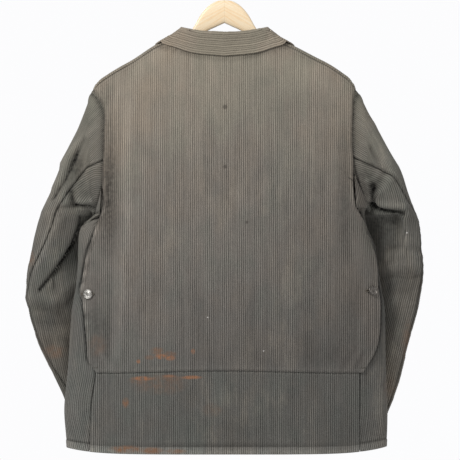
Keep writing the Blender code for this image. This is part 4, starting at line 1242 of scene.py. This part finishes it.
class CollarForm:
    """The collar by degrees round the neck and length of cloth in from the outer edge."""

    ARC = 1.0

    def __init__(self):
        self.turns = np.arange(-172.0, 172.1, 2.0)
        turn, sign = np.abs(self.turns), np.where(self.turns >= 0, 1.0, -1.0)
        back = turn <= 90
        angle = np.radians(self.turns)
        seam_x = NECK_OUT * np.sin(angle)
        seam = np.where(back[:, None], body(seam_x, neck_drop(seam_x, True), True),
                        body(seam_x, neck_drop(seam_x, False), False))
        seam[:, 2] += SEAM_GAP * np.where(back, 3, 5)
        away = np.stack([np.sin(angle), np.cos(angle), 0 * angle], -1)
        seam -= away * 0.6
        edge_x = table(COLLAR, turn, 3) * sign
        edge = body(edge_x, np.maximum(table(COLLAR, turn, 4), ridge(edge_x) + 0.2), back)
        fold = np.stack([table(COLLAR, turn, 1) * sign, mix(seam[:, 1], edge[:, 1], 0.25),
                         -table(COLLAR, turn, 2)], -1)
        lower = np.array([0, 0, 3.0])
        stand_top, fall_top = fold - away * FOLD_HALF - lower, fold + away * FOLD_HALF - lower
        line = [seam, mix(seam, stand_top, 0.5), stand_top, fold, fall_top]
        for share in (0.25, 0.5, 0.75, 1.0):
            gap = mix(1.4, 1.0 - 0.4 * bell(turn - 90, 18), share) * COLLAR_OFF
            line.append(clear_of_body(mix(fall_top, edge, share), back, gap))
        control = np.stack(line[::-1], 1)
        soft = control.copy()
        for _ in range(5):
            soft[1:-1] = soft[:-2] / 4 + soft[1:-1] / 2 + soft[2:] / 4
        control = mix(control, soft, bell(turn - 90, 16)[:, None, None])
        fine = np.stack([through(control.swapaxes(0, 1), t)
                         for t in np.linspace(0, len(line) - 1, 97)], 1)
        gaps = np.linalg.norm(np.diff(fine, axis=1), axis=2)
        length = np.concatenate([np.zeros((len(fine), 1)), np.cumsum(gaps, 1)], 1)
        self.total = length[:, -1]
        self.arcs = np.arange(-3.0, self.total.max() + 4, self.ARC)
        rows = []
        for points, way in zip(fine, length):
            row = np.stack([np.interp(self.arcs, way, points[:, k]) for k in range(3)], -1)
            past, lead = self.arcs - way[-1], self.arcs
            end = unit(points[-1] - points[-4])
            head = unit(points[3] - points[0])
            row += np.maximum(past, 0)[:, None] * end + np.minimum(lead, 0)[:, None] * head
            rows.append(row)
        self.grid = np.array(rows)

    def surface(self, u, turn):
        u, turn = np.broadcast_arrays(u, turn)
        r = np.clip((turn - self.turns[0]) / 2.0, 0, len(self.turns) - 1.001)
        c = np.clip((u - self.arcs[0]) / self.ARC, 0, len(self.arcs) - 1.001)
        i, j = r.astype(int), c.astype(int)
        r, c = (r - i)[..., None], (c - j)[..., None]
        g = self.grid
        return ((g[i, j] * (1 - c) + g[i, j + 1] * c) * (1 - r)
                + (g[i + 1, j] * (1 - c) + g[i + 1, j + 1] * c) * r)


def by_rows(u):
    """1 along the collar's rows of stitching, 0 between them."""
    return sum(bell(u - row, 1.2) for row in COLLAR_ROWS)


def collar_relief(u, turn, *_):
    high = 0.35 * (1 - smooth(u / 50)) - 0.7 * bell(u, 1.0)
    high -= 0.5 * by_rows(u)
    high += 0.22 * np.sin(turn * 0.9 + 2 * np.sin(turn * 0.31) + u * 0.35) \
        * (1 - smooth((u - 42) / 10))
    ends = np.minimum(170 - np.abs(turn), 40) * 0.9
    return high - 0.4 * bell(ends - 2.5, 1.4) - 0.5 * bell(ends, 1.2) \
        + 0.5 * wave(turn * 1.2, u, 55, 6)


def collar_shade(u, turn, *_):
    tone = edge_tone("collar edge", u) + 0.25 * smooth((np.abs(turn) - 20) / 40) \
        + 0.3 * smooth(-turn / 50)
    # painted shade in the grooves along the rows of stitching
    return tone - 0.45 * by_rows(u)


def collar():
    form = CollarForm()
    rows = spaced(-170.0, 170.0, 2.1, (1.2, 2.8))
    hi = np.interp(rows, form.turns, form.total)
    obj, touch = shell("jacket_collar", form.surface, columns(0, hi.max()), rows,
                       np.zeros(len(rows)), hi, 1, collar_relief, dt=1.0, thick=2.2,
                       along=lambda u, t: t * 1.9, shade=collar_shade)
    thread = Thread()
    turn = np.linspace(-168.5, 168.5, 400)
    for row in COLLAR_ROWS:
        thread.run(*touch(np.full(400, row), turn))
    return obj, thread.make("stitching_collar")


# ---------------------------------------------------------------- buttons and buttonholes
BUTTON_SIDES, STRANDS = 72, 18      # sides of a button, and strands in its roped ring


def relief_button(name, spot, normal):
    """A metal button: rolled rim, sunk band with a roped ring, and a plain low dome."""
    rings = [(0.0, 0.74), (0.12, 0.735), (0.25, 0.715), (0.38, 0.68), (0.46, 0.63),
             (0.5, 0.56), (0.54, 0.56), (0.58, 0.62), (0.64, 0.66), (0.7, 0.62), (0.74, 0.56),
             (0.79, 0.58), (0.83, 0.74), (0.88, 0.9), (0.93, 0.96), (0.975, 0.9), (1.0, 0.76),
             (1.0, 0.5), (0.96, 0.3), (0.86, 0.14), (0.7, 0.0), (0.35, 0.0), (0.0, 0.0)]
    count = BUTTON_SIDES
    turn = np.arange(count) * math.tau / count
    points = []
    for k, (r, h) in enumerate(rings):
        roped = 0.055 * np.cos(STRANDS * turn + 5 * r) * bell(r - 0.64, 0.05) if k < 12 else 0.0
        worn = 0.012 * np.sin(3 * turn + 4 * r) * (k < 14)
        points.append(np.stack([BUTTON_RADIUS * r * np.cos(turn),
                                BUTTON_RADIUS * r * np.sin(turn),
                                BUTTON_HEIGHT * (h + roped + worn)], -1))
    points = np.concatenate(points)
    index = np.arange(len(points)).reshape(len(rings), count)
    index[0], index[-1] = index[0, 0], index[-1, 0]
    closed = np.concatenate([index, index[:, :1]], 1)
    faces = grid_faces(closed, np.ones((len(rings) - 1, count), bool), True)
    turn_to = Vector((0, 0, 1)).rotation_difference(Vector(normal)).to_matrix()
    points = points @ np.array(turn_to).T + spot + normal * BUTTON_GAP
    return make_mesh(name, points, faces)


def tube(line, out, radius, sides=6):
    """Points and faces of a closed tube along a loop of points."""
    ahead = unit(np.roll(line, -1, 0) - np.roll(line, 1, 0))
    side = unit(np.cross(ahead, out))
    turn = np.arange(sides) * math.tau / sides
    ring = (side[:, None] * np.cos(turn)[:, None] + out[:, None] * np.sin(turn)[:, None])
    points = (line[:, None] + ring * radius[:, None, None]).reshape(-1, 3)
    n, faces = len(line), []
    for i in range(n):
        for j in range(sides):
            a, b = i * sides + j, i * sides + (j + 1) % sides
            c, d = (i + 1) % n * sides + (j + 1) % sides, (i + 1) % n * sides + j
            faces.append([a, b, c, d])
    return points, faces


def level_way(normal):
    """The level direction along the cloth, at right angles to its normal."""
    return unit(np.cross(np.array([0.0, 0.0, 1.0]), normal))


def buttonhole(name, centre, normal, length, half=1.7):
    """A worked buttonhole: a ring of close stitches round its slit, a flat dark face painted as the
    shade inside the cut.
    """
    flat = level_way(normal)
    up = np.cross(normal, flat)
    reach = length / 2 - half

    def loop(count, x, high, lift):
        a = np.arange(count)[:, None] * math.tau / count
        return centre + flat * x(np.cos(a)) + up * high * np.sin(a) + normal * lift

    count, slit_count = 76, 20
    line = loop(count, lambda c: reach * np.clip(1.35 * c, -1, 1) + half * c, half, 0.35)
    radius = 0.78 + 0.2 * np.cos(np.arange(count) * math.pi)
    ring = make_mesh(name, *tube(line, np.tile(normal, (count, 1)), radius))
    # a flat dark face in the slit: painted shade for the inside of the cut
    slit = loop(slit_count, lambda c: reach * c, 0.75, 0.25)
    return ring, make_mesh(name + "_slit", slit, [list(range(slit_count))])


# ---------------------------------------------------------------- hanger and hook
def wooden_hanger():
    """Both arms as one shaped bar with well rounded edges."""
    rows = []
    for out, top, low in HANGER:
        if top is None:
            top = max(float(ridge(np.array(out))), float(ridge(np.array(-out)))) + HANGER_UNDER
        rows.append((out, top, low))
    outs = np.concatenate([np.linspace(0, 80, 49), np.linspace(84, 205, 36),
                           217 - 12 * (1 - np.linspace(0.08, 1, 12)) ** 1.6])
    outs = np.unique(np.round(np.concatenate([-outs, outs]), 3))
    top, low = table(rows, np.abs(outs), 1), table(rows, np.abs(outs), 2)
    end = np.sqrt(np.clip(1 - ((np.abs(outs) - 209) / 8.0).clip(0, 1) ** 2, 0.002, 1))
    turn = np.arange(28) * math.tau / 28
    power = 2 / 3.4
    wide = np.sign(np.cos(turn)) * np.abs(np.cos(turn)) ** power
    tall = np.sign(np.sin(turn)) * np.abs(np.sin(turn)) ** power
    middle, half = (top + low) / 2, (low - top) / 2
    y = np.outer(end, wide) * HANGER_THICK / 2
    z = -(middle[:, None] - np.outer(half * end, tall))
    x = np.broadcast_to(outs[:, None], y.shape)
    points = np.stack([x, y, z], -1).reshape(-1, 3)
    index = np.arange(len(points)).reshape(x.shape)
    closed = np.concatenate([index, index[:, :1]], 1)
    faces = grid_faces(closed, np.ones((len(outs) - 1, 28), bool), False)
    faces += [index[0][::-1].tolist(), index[-1].tolist()]
    return make_mesh("hanger_wood", points, faces)


def wire_hook():
    """The hook's wire along the solid's own line, smoothed, with a rounded tip."""
    centre = -HOOK_RADIUS + HOOK_WIRE / 2
    line = [(0, -69.6), (0, -60), (-2.5, -53), (-9, -46), (-17, -38.5), (-22.5, -30)]
    for degrees in range(180, -41, -10):
        a = math.radians(degrees)
        line.append((HOOK_RADIUS * math.cos(a), centre + HOOK_RADIUS * math.sin(a)))
    line = np.array(line, float)
    fine = [through(line, t) for t in np.linspace(0, len(line) - 1, 170)]
    curve = bpy.data.curves.new("hanger_wire", "CURVE")
    curve.dimensions = "3D"
    curve.bevel_depth = HOOK_WIRE / 2 * MM
    curve.bevel_resolution = 5
    curve.use_fill_caps = True
    spline = curve.splines.new("POLY")
    spline.points.add(len(fine) - 1)
    for k, (spot, (x, z)) in enumerate(zip(spline.points, fine)):
        spot.co = (x * MM, 0, z * MM, 1)
        spot.radius = min(1.0, 0.35 + 0.25 * (len(fine) - 1 - k))
    obj = bpy.data.objects.new("hanger_wire", curve)
    bpy.context.scene.collection.objects.link(obj)
    return obj


# ---------------------------------------------------------------- materials
class Nodes:
    """A material's node tree, with short ways to add what the finishes here need."""

    def __init__(self, name):
        self.material = bpy.data.materials.new(name)
        self.material.use_nodes = True
        self.tree = self.material.node_tree
        self.shader = self.tree.nodes["Principled BSDF"]
        self.coordinate = self.tree.nodes.new("ShaderNodeTexCoord")
        self.place = self.coordinate.outputs["Object"]

    def put(self, socket, value):
        if isinstance(value, bpy.types.NodeSocket):
            self.tree.links.new(value, socket)
        elif isinstance(value, tuple) and socket.type == "RGBA":
            socket.default_value = (*value, 1.0)
        else:
            socket.default_value = value

    def node(self, kind, inputs=(), **settings):
        made = self.tree.nodes.new("ShaderNode" + kind)
        for name, value in settings.items():
            setattr(made, name, value)
        for socket, value in zip(made.inputs, inputs):
            if value is not None:
                self.put(socket, value)
        return made

    def math(self, operation, *values):
        return self.node("Math", values, operation=operation).outputs[0]

    def times(self, a, b):
        return self.math("MULTIPLY", a, b)

    def vector(self, operation, a, b=None):
        made = self.node("VectorMath", (a, b), operation=operation)
        return made.outputs["Value" if operation in ("LENGTH", "DOT_PRODUCT") else "Vector"]

    def scaled(self, vector, by):
        return self.vector("MULTIPLY", vector, by)

    def noise(self, vector, scale, detail=3.0, rough=0.55):
        made = self.node("TexNoise")
        for name, value in (("Vector", vector), ("Scale", scale), ("Detail", detail),
                            ("Roughness", rough)):
            self.put(made.inputs[name], value)
        return made.outputs["Fac"]

    def ramp(self, value, low, high, to_low=0.0, to_high=1.0, soft=True):
        made = self.node("MapRange", (value, low, high, to_low, to_high))
        made.interpolation_type = "SMOOTHSTEP" if soft else "LINEAR"
        return made.outputs["Result"]

    def blend(self, factor, a, b, way="MIX"):
        made = self.node("Mix", data_type="RGBA", blend_type=way)
        for socket, value in ((made.inputs["Factor"], factor), (made.inputs[6], a),
                              (made.inputs[7], b)):
            self.put(socket, value)
        return made.outputs[2]

    def blend_value(self, factor, a, b):
        made = self.node("Mix", data_type="FLOAT")
        for socket, value in zip((made.inputs[0], made.inputs[2], made.inputs[3]),
                                 (factor, a, b)):
            self.put(socket, value)
        return made.outputs[0]

    def grade(self, value, stops):
        made = self.node("ValToRGB", (value,))
        band = made.color_ramp
        while len(band.elements) < len(stops):
            band.elements.new(0.5)
        for element, (at, colour) in zip(band.elements, stops):
            element.position, element.color = at, (*colour, 1.0)
        return made.outputs["Color"]

    def parts(self, vector):
        return self.node("SeparateXYZ", (vector,)).outputs

    def patch(self, x, drop, wide, tall):
        """1 in the middle of an oval patch on the back, 0 outside it."""
        centre = (x * MM, 0.05, -drop * MM)
        size = (1000.0 / wide, 8.0, 1000.0 / tall)
        near = self.scaled(self.vector("SUBTRACT", self.place, centre), size)
        return self.ramp(self.vector("LENGTH", near), 1.0, 0.35)

    def marks(self, rows):
        """The strongest of a table of patches; a fifth column gives a patch's strength."""
        total = None
        for x, drop, wide, tall, *strength in rows:
            spot = self.patch(x, drop, wide, tall)
            spot = self.times(spot, *strength) if strength else spot
            total = spot if total is None else self.math("MAXIMUM", total, spot)
        return total

    def finish(self, rough, metal=0.0, bump=None, deep=0.0004, strength=0.5):
        self.shader.inputs["Roughness"].default_value = rough
        self.shader.inputs["Metallic"].default_value = metal
        if bump is not None:
            made = self.node("Bump")
            made.inputs["Strength"].default_value = strength
            made.inputs["Distance"].default_value = deep
            self.put(made.inputs["Height"], bump)
            self.put(self.shader.inputs["Normal"], made.outputs["Normal"])
        return self.material


STAINS = [
    # x, drop, half width, half height, strength: rust-brown marks
    (115, 760, 60, 24, 0.3), (120, 700, 18, 9, 0.6), (98, 706, 16, 8, 0.6),
    (134, 712, 12, 6, 0.45), (150, 754, 28, 9, 0.4), (98, 750, 34, 8, 0.4), (120, 764, 22, 7, 0.4),
    (177, 793, 8, 12, 0.9), (176, 877, 40, 9, 1.0), (130, 879, 26, 8, 0.9), (86, 880, 26, 6, 0.6),
    (20, 806, 26, 16, 0.18), (348, 536, 9, 22, 0.5), (306, 704, 34, 20, 0.5),
    (-331, 690, 18, 60, 0.5), (-300, 770, 20, 40, 0.35), (228, 690, 22, 26, 0.25),
]
RUST = [
    # x, drop, half width, half height, strength: the strongest marks, more orange
    (114, 710, 13, 6.5, 1.0), (97, 713, 12, 5.5, 0.9), (154, 719, 5, 5, 0.8),
    (56, 701, 5, 6.5, 0.9), (146, 749.5, 26, 5, 0.85), (59, 747.5, 24, 4.5, 0.85),
    (100, 745, 16, 3.5, 0.5),
]
# dark spots and pale flecks: x, drop, half width, half height
SPOTS = [(-1, 264, 6, 6), (-1, 371, 5, 5), (-40, 470, 4, 4)]
FLECKS = [(-327.6, 489, 2.4, 2.0), (30, 640, 2.0, 1.4), (-70, 700, 1.8, 1.4)]


# the tone is mostly painted shade and painted light, partly wear and mottling
TONE_SHARE = 0.42      # how much paler the cloth is at a tone of 1


def cloth_material(name, stops, collar=False):
    """Ribbed cotton: grooves darkened by dirt and painted shade, heathered threads, uneven fading,
    colour by height that is partly fading and partly painted light from above, painted light from
    the left low down, the tone's painted shade and light, wear, and old marks.
    """
    n = Nodes(name)
    uv = n.node("UVMap", uv_map="cloth").outputs["UV"]
    cloth = n.scaled(uv, (100.0, 100.0, 0.0))
    rib = n.math("DIVIDE", n.parts(cloth)[0], RIB)
    cross = n.times(n.math("PINGPONG", rib, 0.5), 2.0)
    wobble = n.noise(n.scaled(cloth, (0.06, 0.02, 0.0)), 1.0, 2.0)
    wale = n.ramp(n.math("ADD", cross, n.times(wobble, 0.24)), 0.16, 0.86)
    faded = n.noise(n.scaled(n.place, (5.0, 5.0, 3.2)), 1.0, 4.0, 0.6)
    # height down the body: the colour ramp on it is partly fading, partly painted light from above
    height = n.ramp(n.parts(n.place)[2], -0.11, -0.89, 0.0, 1.0, soft=False)
    height = n.math("ADD", height, n.ramp(faded, 0.3, 0.7, -0.09, 0.09, soft=False))
    colour = n.grade(height, stops)
    drift = n.noise(n.scaled(n.place, (13.0, 13.0, 8.0)), 1.0, 3.0, 0.6)
    drift = n.grade(drift, [(0.36, (1.02, 0.99, 0.965)), (0.5, (1.0, 1.0, 1.0)),
                            (0.62, (0.965, 1.005, 0.995))])
    colour = n.blend(1.0, colour, drift, "MULTIPLY")
    blotch = n.noise(n.place, 22.0, 5.0, 0.62)
    colour = n.blend(n.ramp(blotch, 0.42, 0.7, 0.0, 0.5), colour,
                     n.blend(1.0, colour, (0.80, 0.83, 0.84), "MULTIPLY"))
    dusty = n.noise(n.scaled(n.place, (9.0, 9.0, 4.0)), 1.3, 6.0, 0.7)
    colour = n.blend(n.ramp(dusty, 0.5, 0.78, 0.0, 0.35), colour, (0.30, 0.262, 0.205))
    thread = n.noise(n.scaled(cloth, (1.5, 0.28, 0.0)), 1.0, 3.0, 0.75)
    weave = n.noise(n.scaled(cloth, (2.4, 1.5, 0.0)), 1.0, 2.0, 0.7)
    streak = n.noise(n.scaled(cloth, (0.21, 0.004, 0.0)), 1.0, 3.0, 0.7)
    light = n.math("ADD", n.ramp(thread, 0.25, 0.75, 0.76, 1.24, soft=False),
                   n.ramp(weave, 0.25, 0.75, -0.16, 0.16, soft=False))
    light = n.times(light, n.ramp(streak, 0.3, 0.7, 0.86, 1.14, soft=False))
    uneven = n.noise(n.scaled(cloth, (0.16, 0.035, 0.0)), 1.0, 3.0, 0.6)
    # the grooves between the ribs darker in colour, more so lower down: partly dirt, partly painted
    # shade in the grooves
    deep = n.times(n.ramp(height, 0.0, 0.5, 0.42, 0.78),
                   n.ramp(uneven, 0.3, 0.7, 0.4, 1.5))
    ribs = n.math("ADD", n.times(n.math("SUBTRACT", wale, 0.62), deep), 1.0)
    light = n.times(light, ribs)
    # painted light: the lower part paler on the left, where the key lamp stands, and darker on the
    # right
    side_light = n.ramp(n.parts(n.place)[0], -0.26, 0.26, 0.93, 1.07, soft=False)
    light = n.times(light, n.blend_value(n.ramp(height, 0.3, 0.7), 1.0, side_light))
    # the tone attribute: painted shade and painted light along seams, folds and edges, with some
    # wear
    tone = n.node("Attribute", attribute_name="tone").outputs["Fac"]
    broken = n.ramp(n.noise(n.place, 160.0, 3.0), 0.3, 0.7, 0.72, 1.2)
    tone = n.times(tone, broken)
    light = n.times(light, n.math("ADD", n.times(tone, TONE_SHARE), 1.0))
    shade = n.node("CombineXYZ", (light, light, light)).outputs[0]
    colour = n.blend(1.0, colour, shade, "MULTIPLY")
    grain = n.ramp(n.noise(n.place, 95.0, 5.0, 0.7), 0.36, 0.6, 0.25, 1.0)
    for rows, mark, part in () if collar else (
            (STAINS, (0.205, 0.112, 0.066), grain), (RUST, (0.31, 0.142, 0.07), grain),
            (SPOTS, (0.05, 0.042, 0.036), 0.6), (FLECKS, (0.62, 0.6, 0.56), 0.8)):
        colour = n.blend(n.times(n.marks(rows), part), colour, mark)
    n.put(n.shader.inputs["Base Color"], colour)
    n.shader.inputs["Sheen Weight"].default_value = 0.16
    n.shader.inputs["Sheen Roughness"].default_value = 0.5
    n.shader.inputs["Sheen Tint"].default_value = (0.85, 0.82, 0.76, 1.0)
    n.shader.inputs["Specular IOR Level"].default_value = 0.2
    bump = n.math("ADD", n.times(thread, 0.6), n.times(weave, 0.6))
    return n.finish(0.93, bump=n.math("ADD", bump, n.times(wale, 0.35)), deep=0.0005)


# colours by height, paler at the top: partly fading, partly painted light from above
BODY_FADE_AND_TOP_LIGHT = [(0.0, (0.285, 0.245, 0.190)), (0.16, (0.262, 0.226, 0.180)),
             (0.42, (0.178, 0.160, 0.138)), (0.66, (0.142, 0.130, 0.115)),
             (0.80, (0.122, 0.114, 0.103)), (1.0, (0.112, 0.106, 0.095))]
SLEEVE_FADE_AND_TOP_LIGHT = [(0.14, (0.205, 0.186, 0.150)), (0.32, (0.150, 0.140, 0.120)),
               (0.55, (0.119, 0.115, 0.103)), (0.75, (0.099, 0.091, 0.077)),
               (1.0, (0.095, 0.087, 0.073))]
SIDE_FADE_AND_TOP_LIGHT = [(0.14, (0.240, 0.210, 0.165)), (0.34, (0.165, 0.150, 0.128)),
             (0.62, (0.110, 0.106, 0.096)), (0.80, (0.108, 0.104, 0.094)),
             (1.0, (0.104, 0.100, 0.090))]
COLLAR_FADE_AND_TOP_LIGHT = [(0.0, (0.262, 0.222, 0.172)), (1.0, (0.240, 0.205, 0.162))]


def thread_material(name, colour):
    n = Nodes(name)
    twist = n.noise(n.place, 900.0, 2.0)
    shade = n.blend(n.ramp(twist, 0.35, 0.65), colour, tuple(c * 0.62 for c in colour))
    n.put(n.shader.inputs["Base Color"], shade)
    return n.finish(0.8, bump=twist, deep=0.0002)


def metal_material(name, bright, dull, rough):
    n = Nodes(name)
    patina = n.noise(n.place, 420.0, 5.0, 0.7)
    wide = n.noise(n.place, 130.0, 3.0)
    factor = n.ramp(n.math("ADD", patina, n.times(wide, 0.4)), 0.55, 0.86)
    n.put(n.shader.inputs["Base Color"], n.blend(factor, bright, dull))
    n.put(n.shader.inputs["Roughness"], n.ramp(patina, 0.3, 0.7, rough - 0.08, rough + 0.18))
    return n.finish(rough, 1.0, bump=patina, deep=0.0001, strength=0.4)


def wood_material():
    """Pale varnished wood, its grain running down each arm and meeting in the middle."""
    n = Nodes("pale_wood")
    x, y, z = n.parts(n.place)
    away = n.math("ABSOLUTE", x)
    across = n.math("ADD", n.times(away, 0.5), n.times(z, 0.87))
    along = n.math("SUBTRACT", n.times(away, 0.87), n.times(z, 0.5))
    grain_place = n.node("CombineXYZ", (n.times(across, 330.0), n.times(y, 120.0),
                                        n.times(along, 22.0))).outputs[0]
    bands = n.noise(grain_place, 1.0, 5.0, 0.6)
    pores = n.noise(n.scaled(grain_place, (5.0, 3.0, 2.2)), 1.0, 3.0, 0.7)
    colour = n.grade(bands, [(0.30, (0.94, 0.65, 0.36)), (0.5, (1.0, 0.79, 0.52)),
                             (0.72, (1.0, 0.86, 0.63))])
    colour = n.blend(n.ramp(pores, 0.62, 0.78, 0.0, 0.35), colour, (0.42, 0.27, 0.15))
    join = n.times(n.ramp(away, 0.0009, 0.0003), 0.12)
    n.put(n.shader.inputs["Base Color"], n.blend(join, colour, (0.33, 0.2, 0.11)))
    n.shader.inputs["Coat Weight"].default_value = 0.35
    n.shader.inputs["Coat Roughness"].default_value = 0.3
    return n.finish(0.42, bump=pores, deep=0.0002, strength=0.25)


def plain_material(name, colour, rough):
    n = Nodes(name)
    cloud = n.noise(n.place, 1.5, 2.0)
    n.put(n.shader.inputs["Base Color"],
          n.blend(n.ramp(cloud, 0.3, 0.7, 0.0, 0.3), colour, tuple(c * 0.97 for c in colour)))
    return n.finish(rough)


# ---------------------------------------------------------------- putting it together
cloths = {"body": cloth_material("ribbed_cloth", BODY_FADE_AND_TOP_LIGHT),
          "side": cloth_material("ribbed_cloth_side", SIDE_FADE_AND_TOP_LIGHT),
          "sleeve": cloth_material("ribbed_cloth_sleeve", SLEEVE_FADE_AND_TOP_LIGHT),
          "collar": cloth_material("ribbed_cloth_collar", COLLAR_FADE_AND_TOP_LIGHT, collar=True)}
dark_thread = thread_material("thread", (0.115, 0.105, 0.088))
pale_thread = thread_material("thread_pale", (0.16, 0.138, 0.106))
# painted shadow: a near-black finish for the flat face in a pocket buttonhole's slit
slit_shadow_material = thread_material("slit", (0.022, 0.02, 0.017))
bright_metal = metal_material("worn_bright_metal", (0.66, 0.64, 0.60), (0.16, 0.15, 0.13), 0.34)
dark_metal = metal_material("dark_metal", (0.27, 0.25, 0.225), (0.10, 0.09, 0.08), 0.42)


def add(obj, slot, material, *nodes):
    """Puts a piece, with its material, on the part's one body, over the solids it stands for."""
    obj.data.materials.append(material)
    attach(obj, "root")
    if nodes:
        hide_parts(*nodes)
    return obj


def hung(piece, kind, node, area, slot="corduroy", thread=dark_thread):
    obj, stitches = piece
    add(obj, slot, cloths[kind], node)
    add(stitches, slot, thread)


def fastening(node, x, drop, lift, finish, hole, shift, length, thread, slit_shadow_finish):
    """A button, and the buttonhole that lies beside or under it on the same cloth."""
    x, drop, back = np.array(x), np.array(drop), lift > 0
    spot, normal = body(x, drop, back), facing_out(x, drop, back)
    spot = spot + normal * lift
    add(relief_button(node + "_metal", spot, normal), *finish, node)
    ring, slit = buttonhole(hole, spot + shift(normal), normal, length)
    add(ring, "corduroy", thread)
    add(slit, "corduroy", slit_shadow_finish)


add(wooden_hanger(), "wood", wood_material(), "hanger_body")
add(wire_hook(), "steel", metal_material("steel_wire", (0.62, 0.62, 0.62), (0.42, 0.42, 0.42),
                                         0.28), "hanger_hook")
hung(back_panel(), "body", "back_panel", 0.30)
hung(back_lower(), "side", "back_lower", 0.072)
wall = add(back_inner(), "corduroy", cloths["side"], "back_inner")
hung(front("left"), "side", "front_left", 0.25)
hung(front("right"), "side", "front_right", 0.26)
for side, sizes in (("left", ((0.24, 0.58, 0.088), (0.21, 0.46, 0.069))),
                    ("right", ((0.22, 0.59, 0.081), (0.21, 0.47, 0.072)))):
    for piece, name, (wide, long, area) in zip(sleeve_pieces(side), ("upper", "under"), sizes):
        hung(piece, "sleeve", "sleeve_%s_%s" % (side, name), area)
hung(collar(), "collar", "collar", 0.033, "collar_cloth", pale_thread)

FINISH = {"left": ("button_bright", bright_metal), "right": ("button_dark", dark_metal)}
for side, away, length in (("left", 2.0, 25.0), ("right", 3.0, 22.0)):
    drop, out = BACK_BUTTONS[side]
    fastening("button_pocket_" + side, out if side == "left" else -out, drop, POCKET_LIFT,
              FINISH[side], "buttonhole_pocket_" + side,
              lambda normal: level_way(normal) * -away, length, pale_thread, slit_shadow_material)
for i, drop in enumerate(FRONT_BUTTON_DROPS, 1):
    fastening("button_front_%d" % i, 0.0, drop, 0.0, FINISH["right"], "buttonhole_front_%d" % i,
              lambda normal: np.array([4.0, 0, 0]) + normal * 0.4, 20.0, dark_thread,
              dark_thread)

# ---------------------------------------------------------------- floor, light and camera
FLOOR_DROP, FLOOR_RADIUS = 1000.0, 1200.0
turn = np.arange(96) * math.tau / 96
floor = make_mesh("floor", np.stack([FLOOR_RADIUS * np.cos(turn), FLOOR_RADIUS * np.sin(turn),
                                     0 * turn - FLOOR_DROP], -1), [list(range(96))])
floor.data.materials.append(plain_material("pale_floor", (0.86, 0.86, 0.87), 0.8))

scene = bpy.context.scene
scene.view_settings.view_transform = "Standard"
world = bpy.data.worlds.new("studio")
world.use_nodes = True
scene.world = world
tree = world.node_tree
tree.nodes.clear()
seen = tree.nodes.new("ShaderNodeBackground")
seen.inputs["Color"].default_value = (0.975, 0.975, 0.985, 1.0)
lit = tree.nodes.new("ShaderNodeBackground")
lit.inputs["Color"].default_value = (1.0, 1.0, 1.02, 1.0)
lit.inputs["Strength"].default_value = 0.46
ray = tree.nodes.new("ShaderNodeLightPath")
both = tree.nodes.new("ShaderNodeMixShader")
end = tree.nodes.new("ShaderNodeOutputWorld")
tree.links.new(ray.outputs["Is Camera Ray"], both.inputs[0])
tree.links.new(lit.outputs[0], both.inputs[1])
tree.links.new(seen.outputs[0], both.inputs[2])
tree.links.new(both.outputs[0], end.inputs[0])

MIDDLE = Vector((-0.0099, 0.0, -0.484))
for name, spot, size, power in (("key", (1.9, 2.2, 1.3), 0.9, 66.0),
                                ("fill", (-1.6, 2.6, 0.2), 1.6, 10.0),
                                ("front", (0.6, -3.0, 1.2), 1.8, 26.0)):
    lamp = bpy.data.lights.new(name, "AREA")
    lamp.energy, lamp.size = power, size
    lamp_obj = bpy.data.objects.new(name, lamp)
    scene.collection.objects.link(lamp_obj)
    lamp_obj.location = spot
    lamp_obj.rotation_euler = (MIDDLE - Vector(spot)).to_track_quat("-Z", "Y").to_euler()

CAMERA_AWAY, VIEW_WIDTH = 7.0, 0.828
camera = bpy.data.cameras.new("camera")
camera.sensor_width = 36.0
camera.lens = 36.0 * CAMERA_AWAY / VIEW_WIDTH
camera_obj = bpy.data.objects.new("camera", camera)
scene.collection.objects.link(camera_obj)
camera_obj.location = MIDDLE + Vector((0, CAMERA_AWAY, 0))
camera_obj.rotation_euler = (math.pi / 2, 0, math.pi)
scene.camera = camera_obj
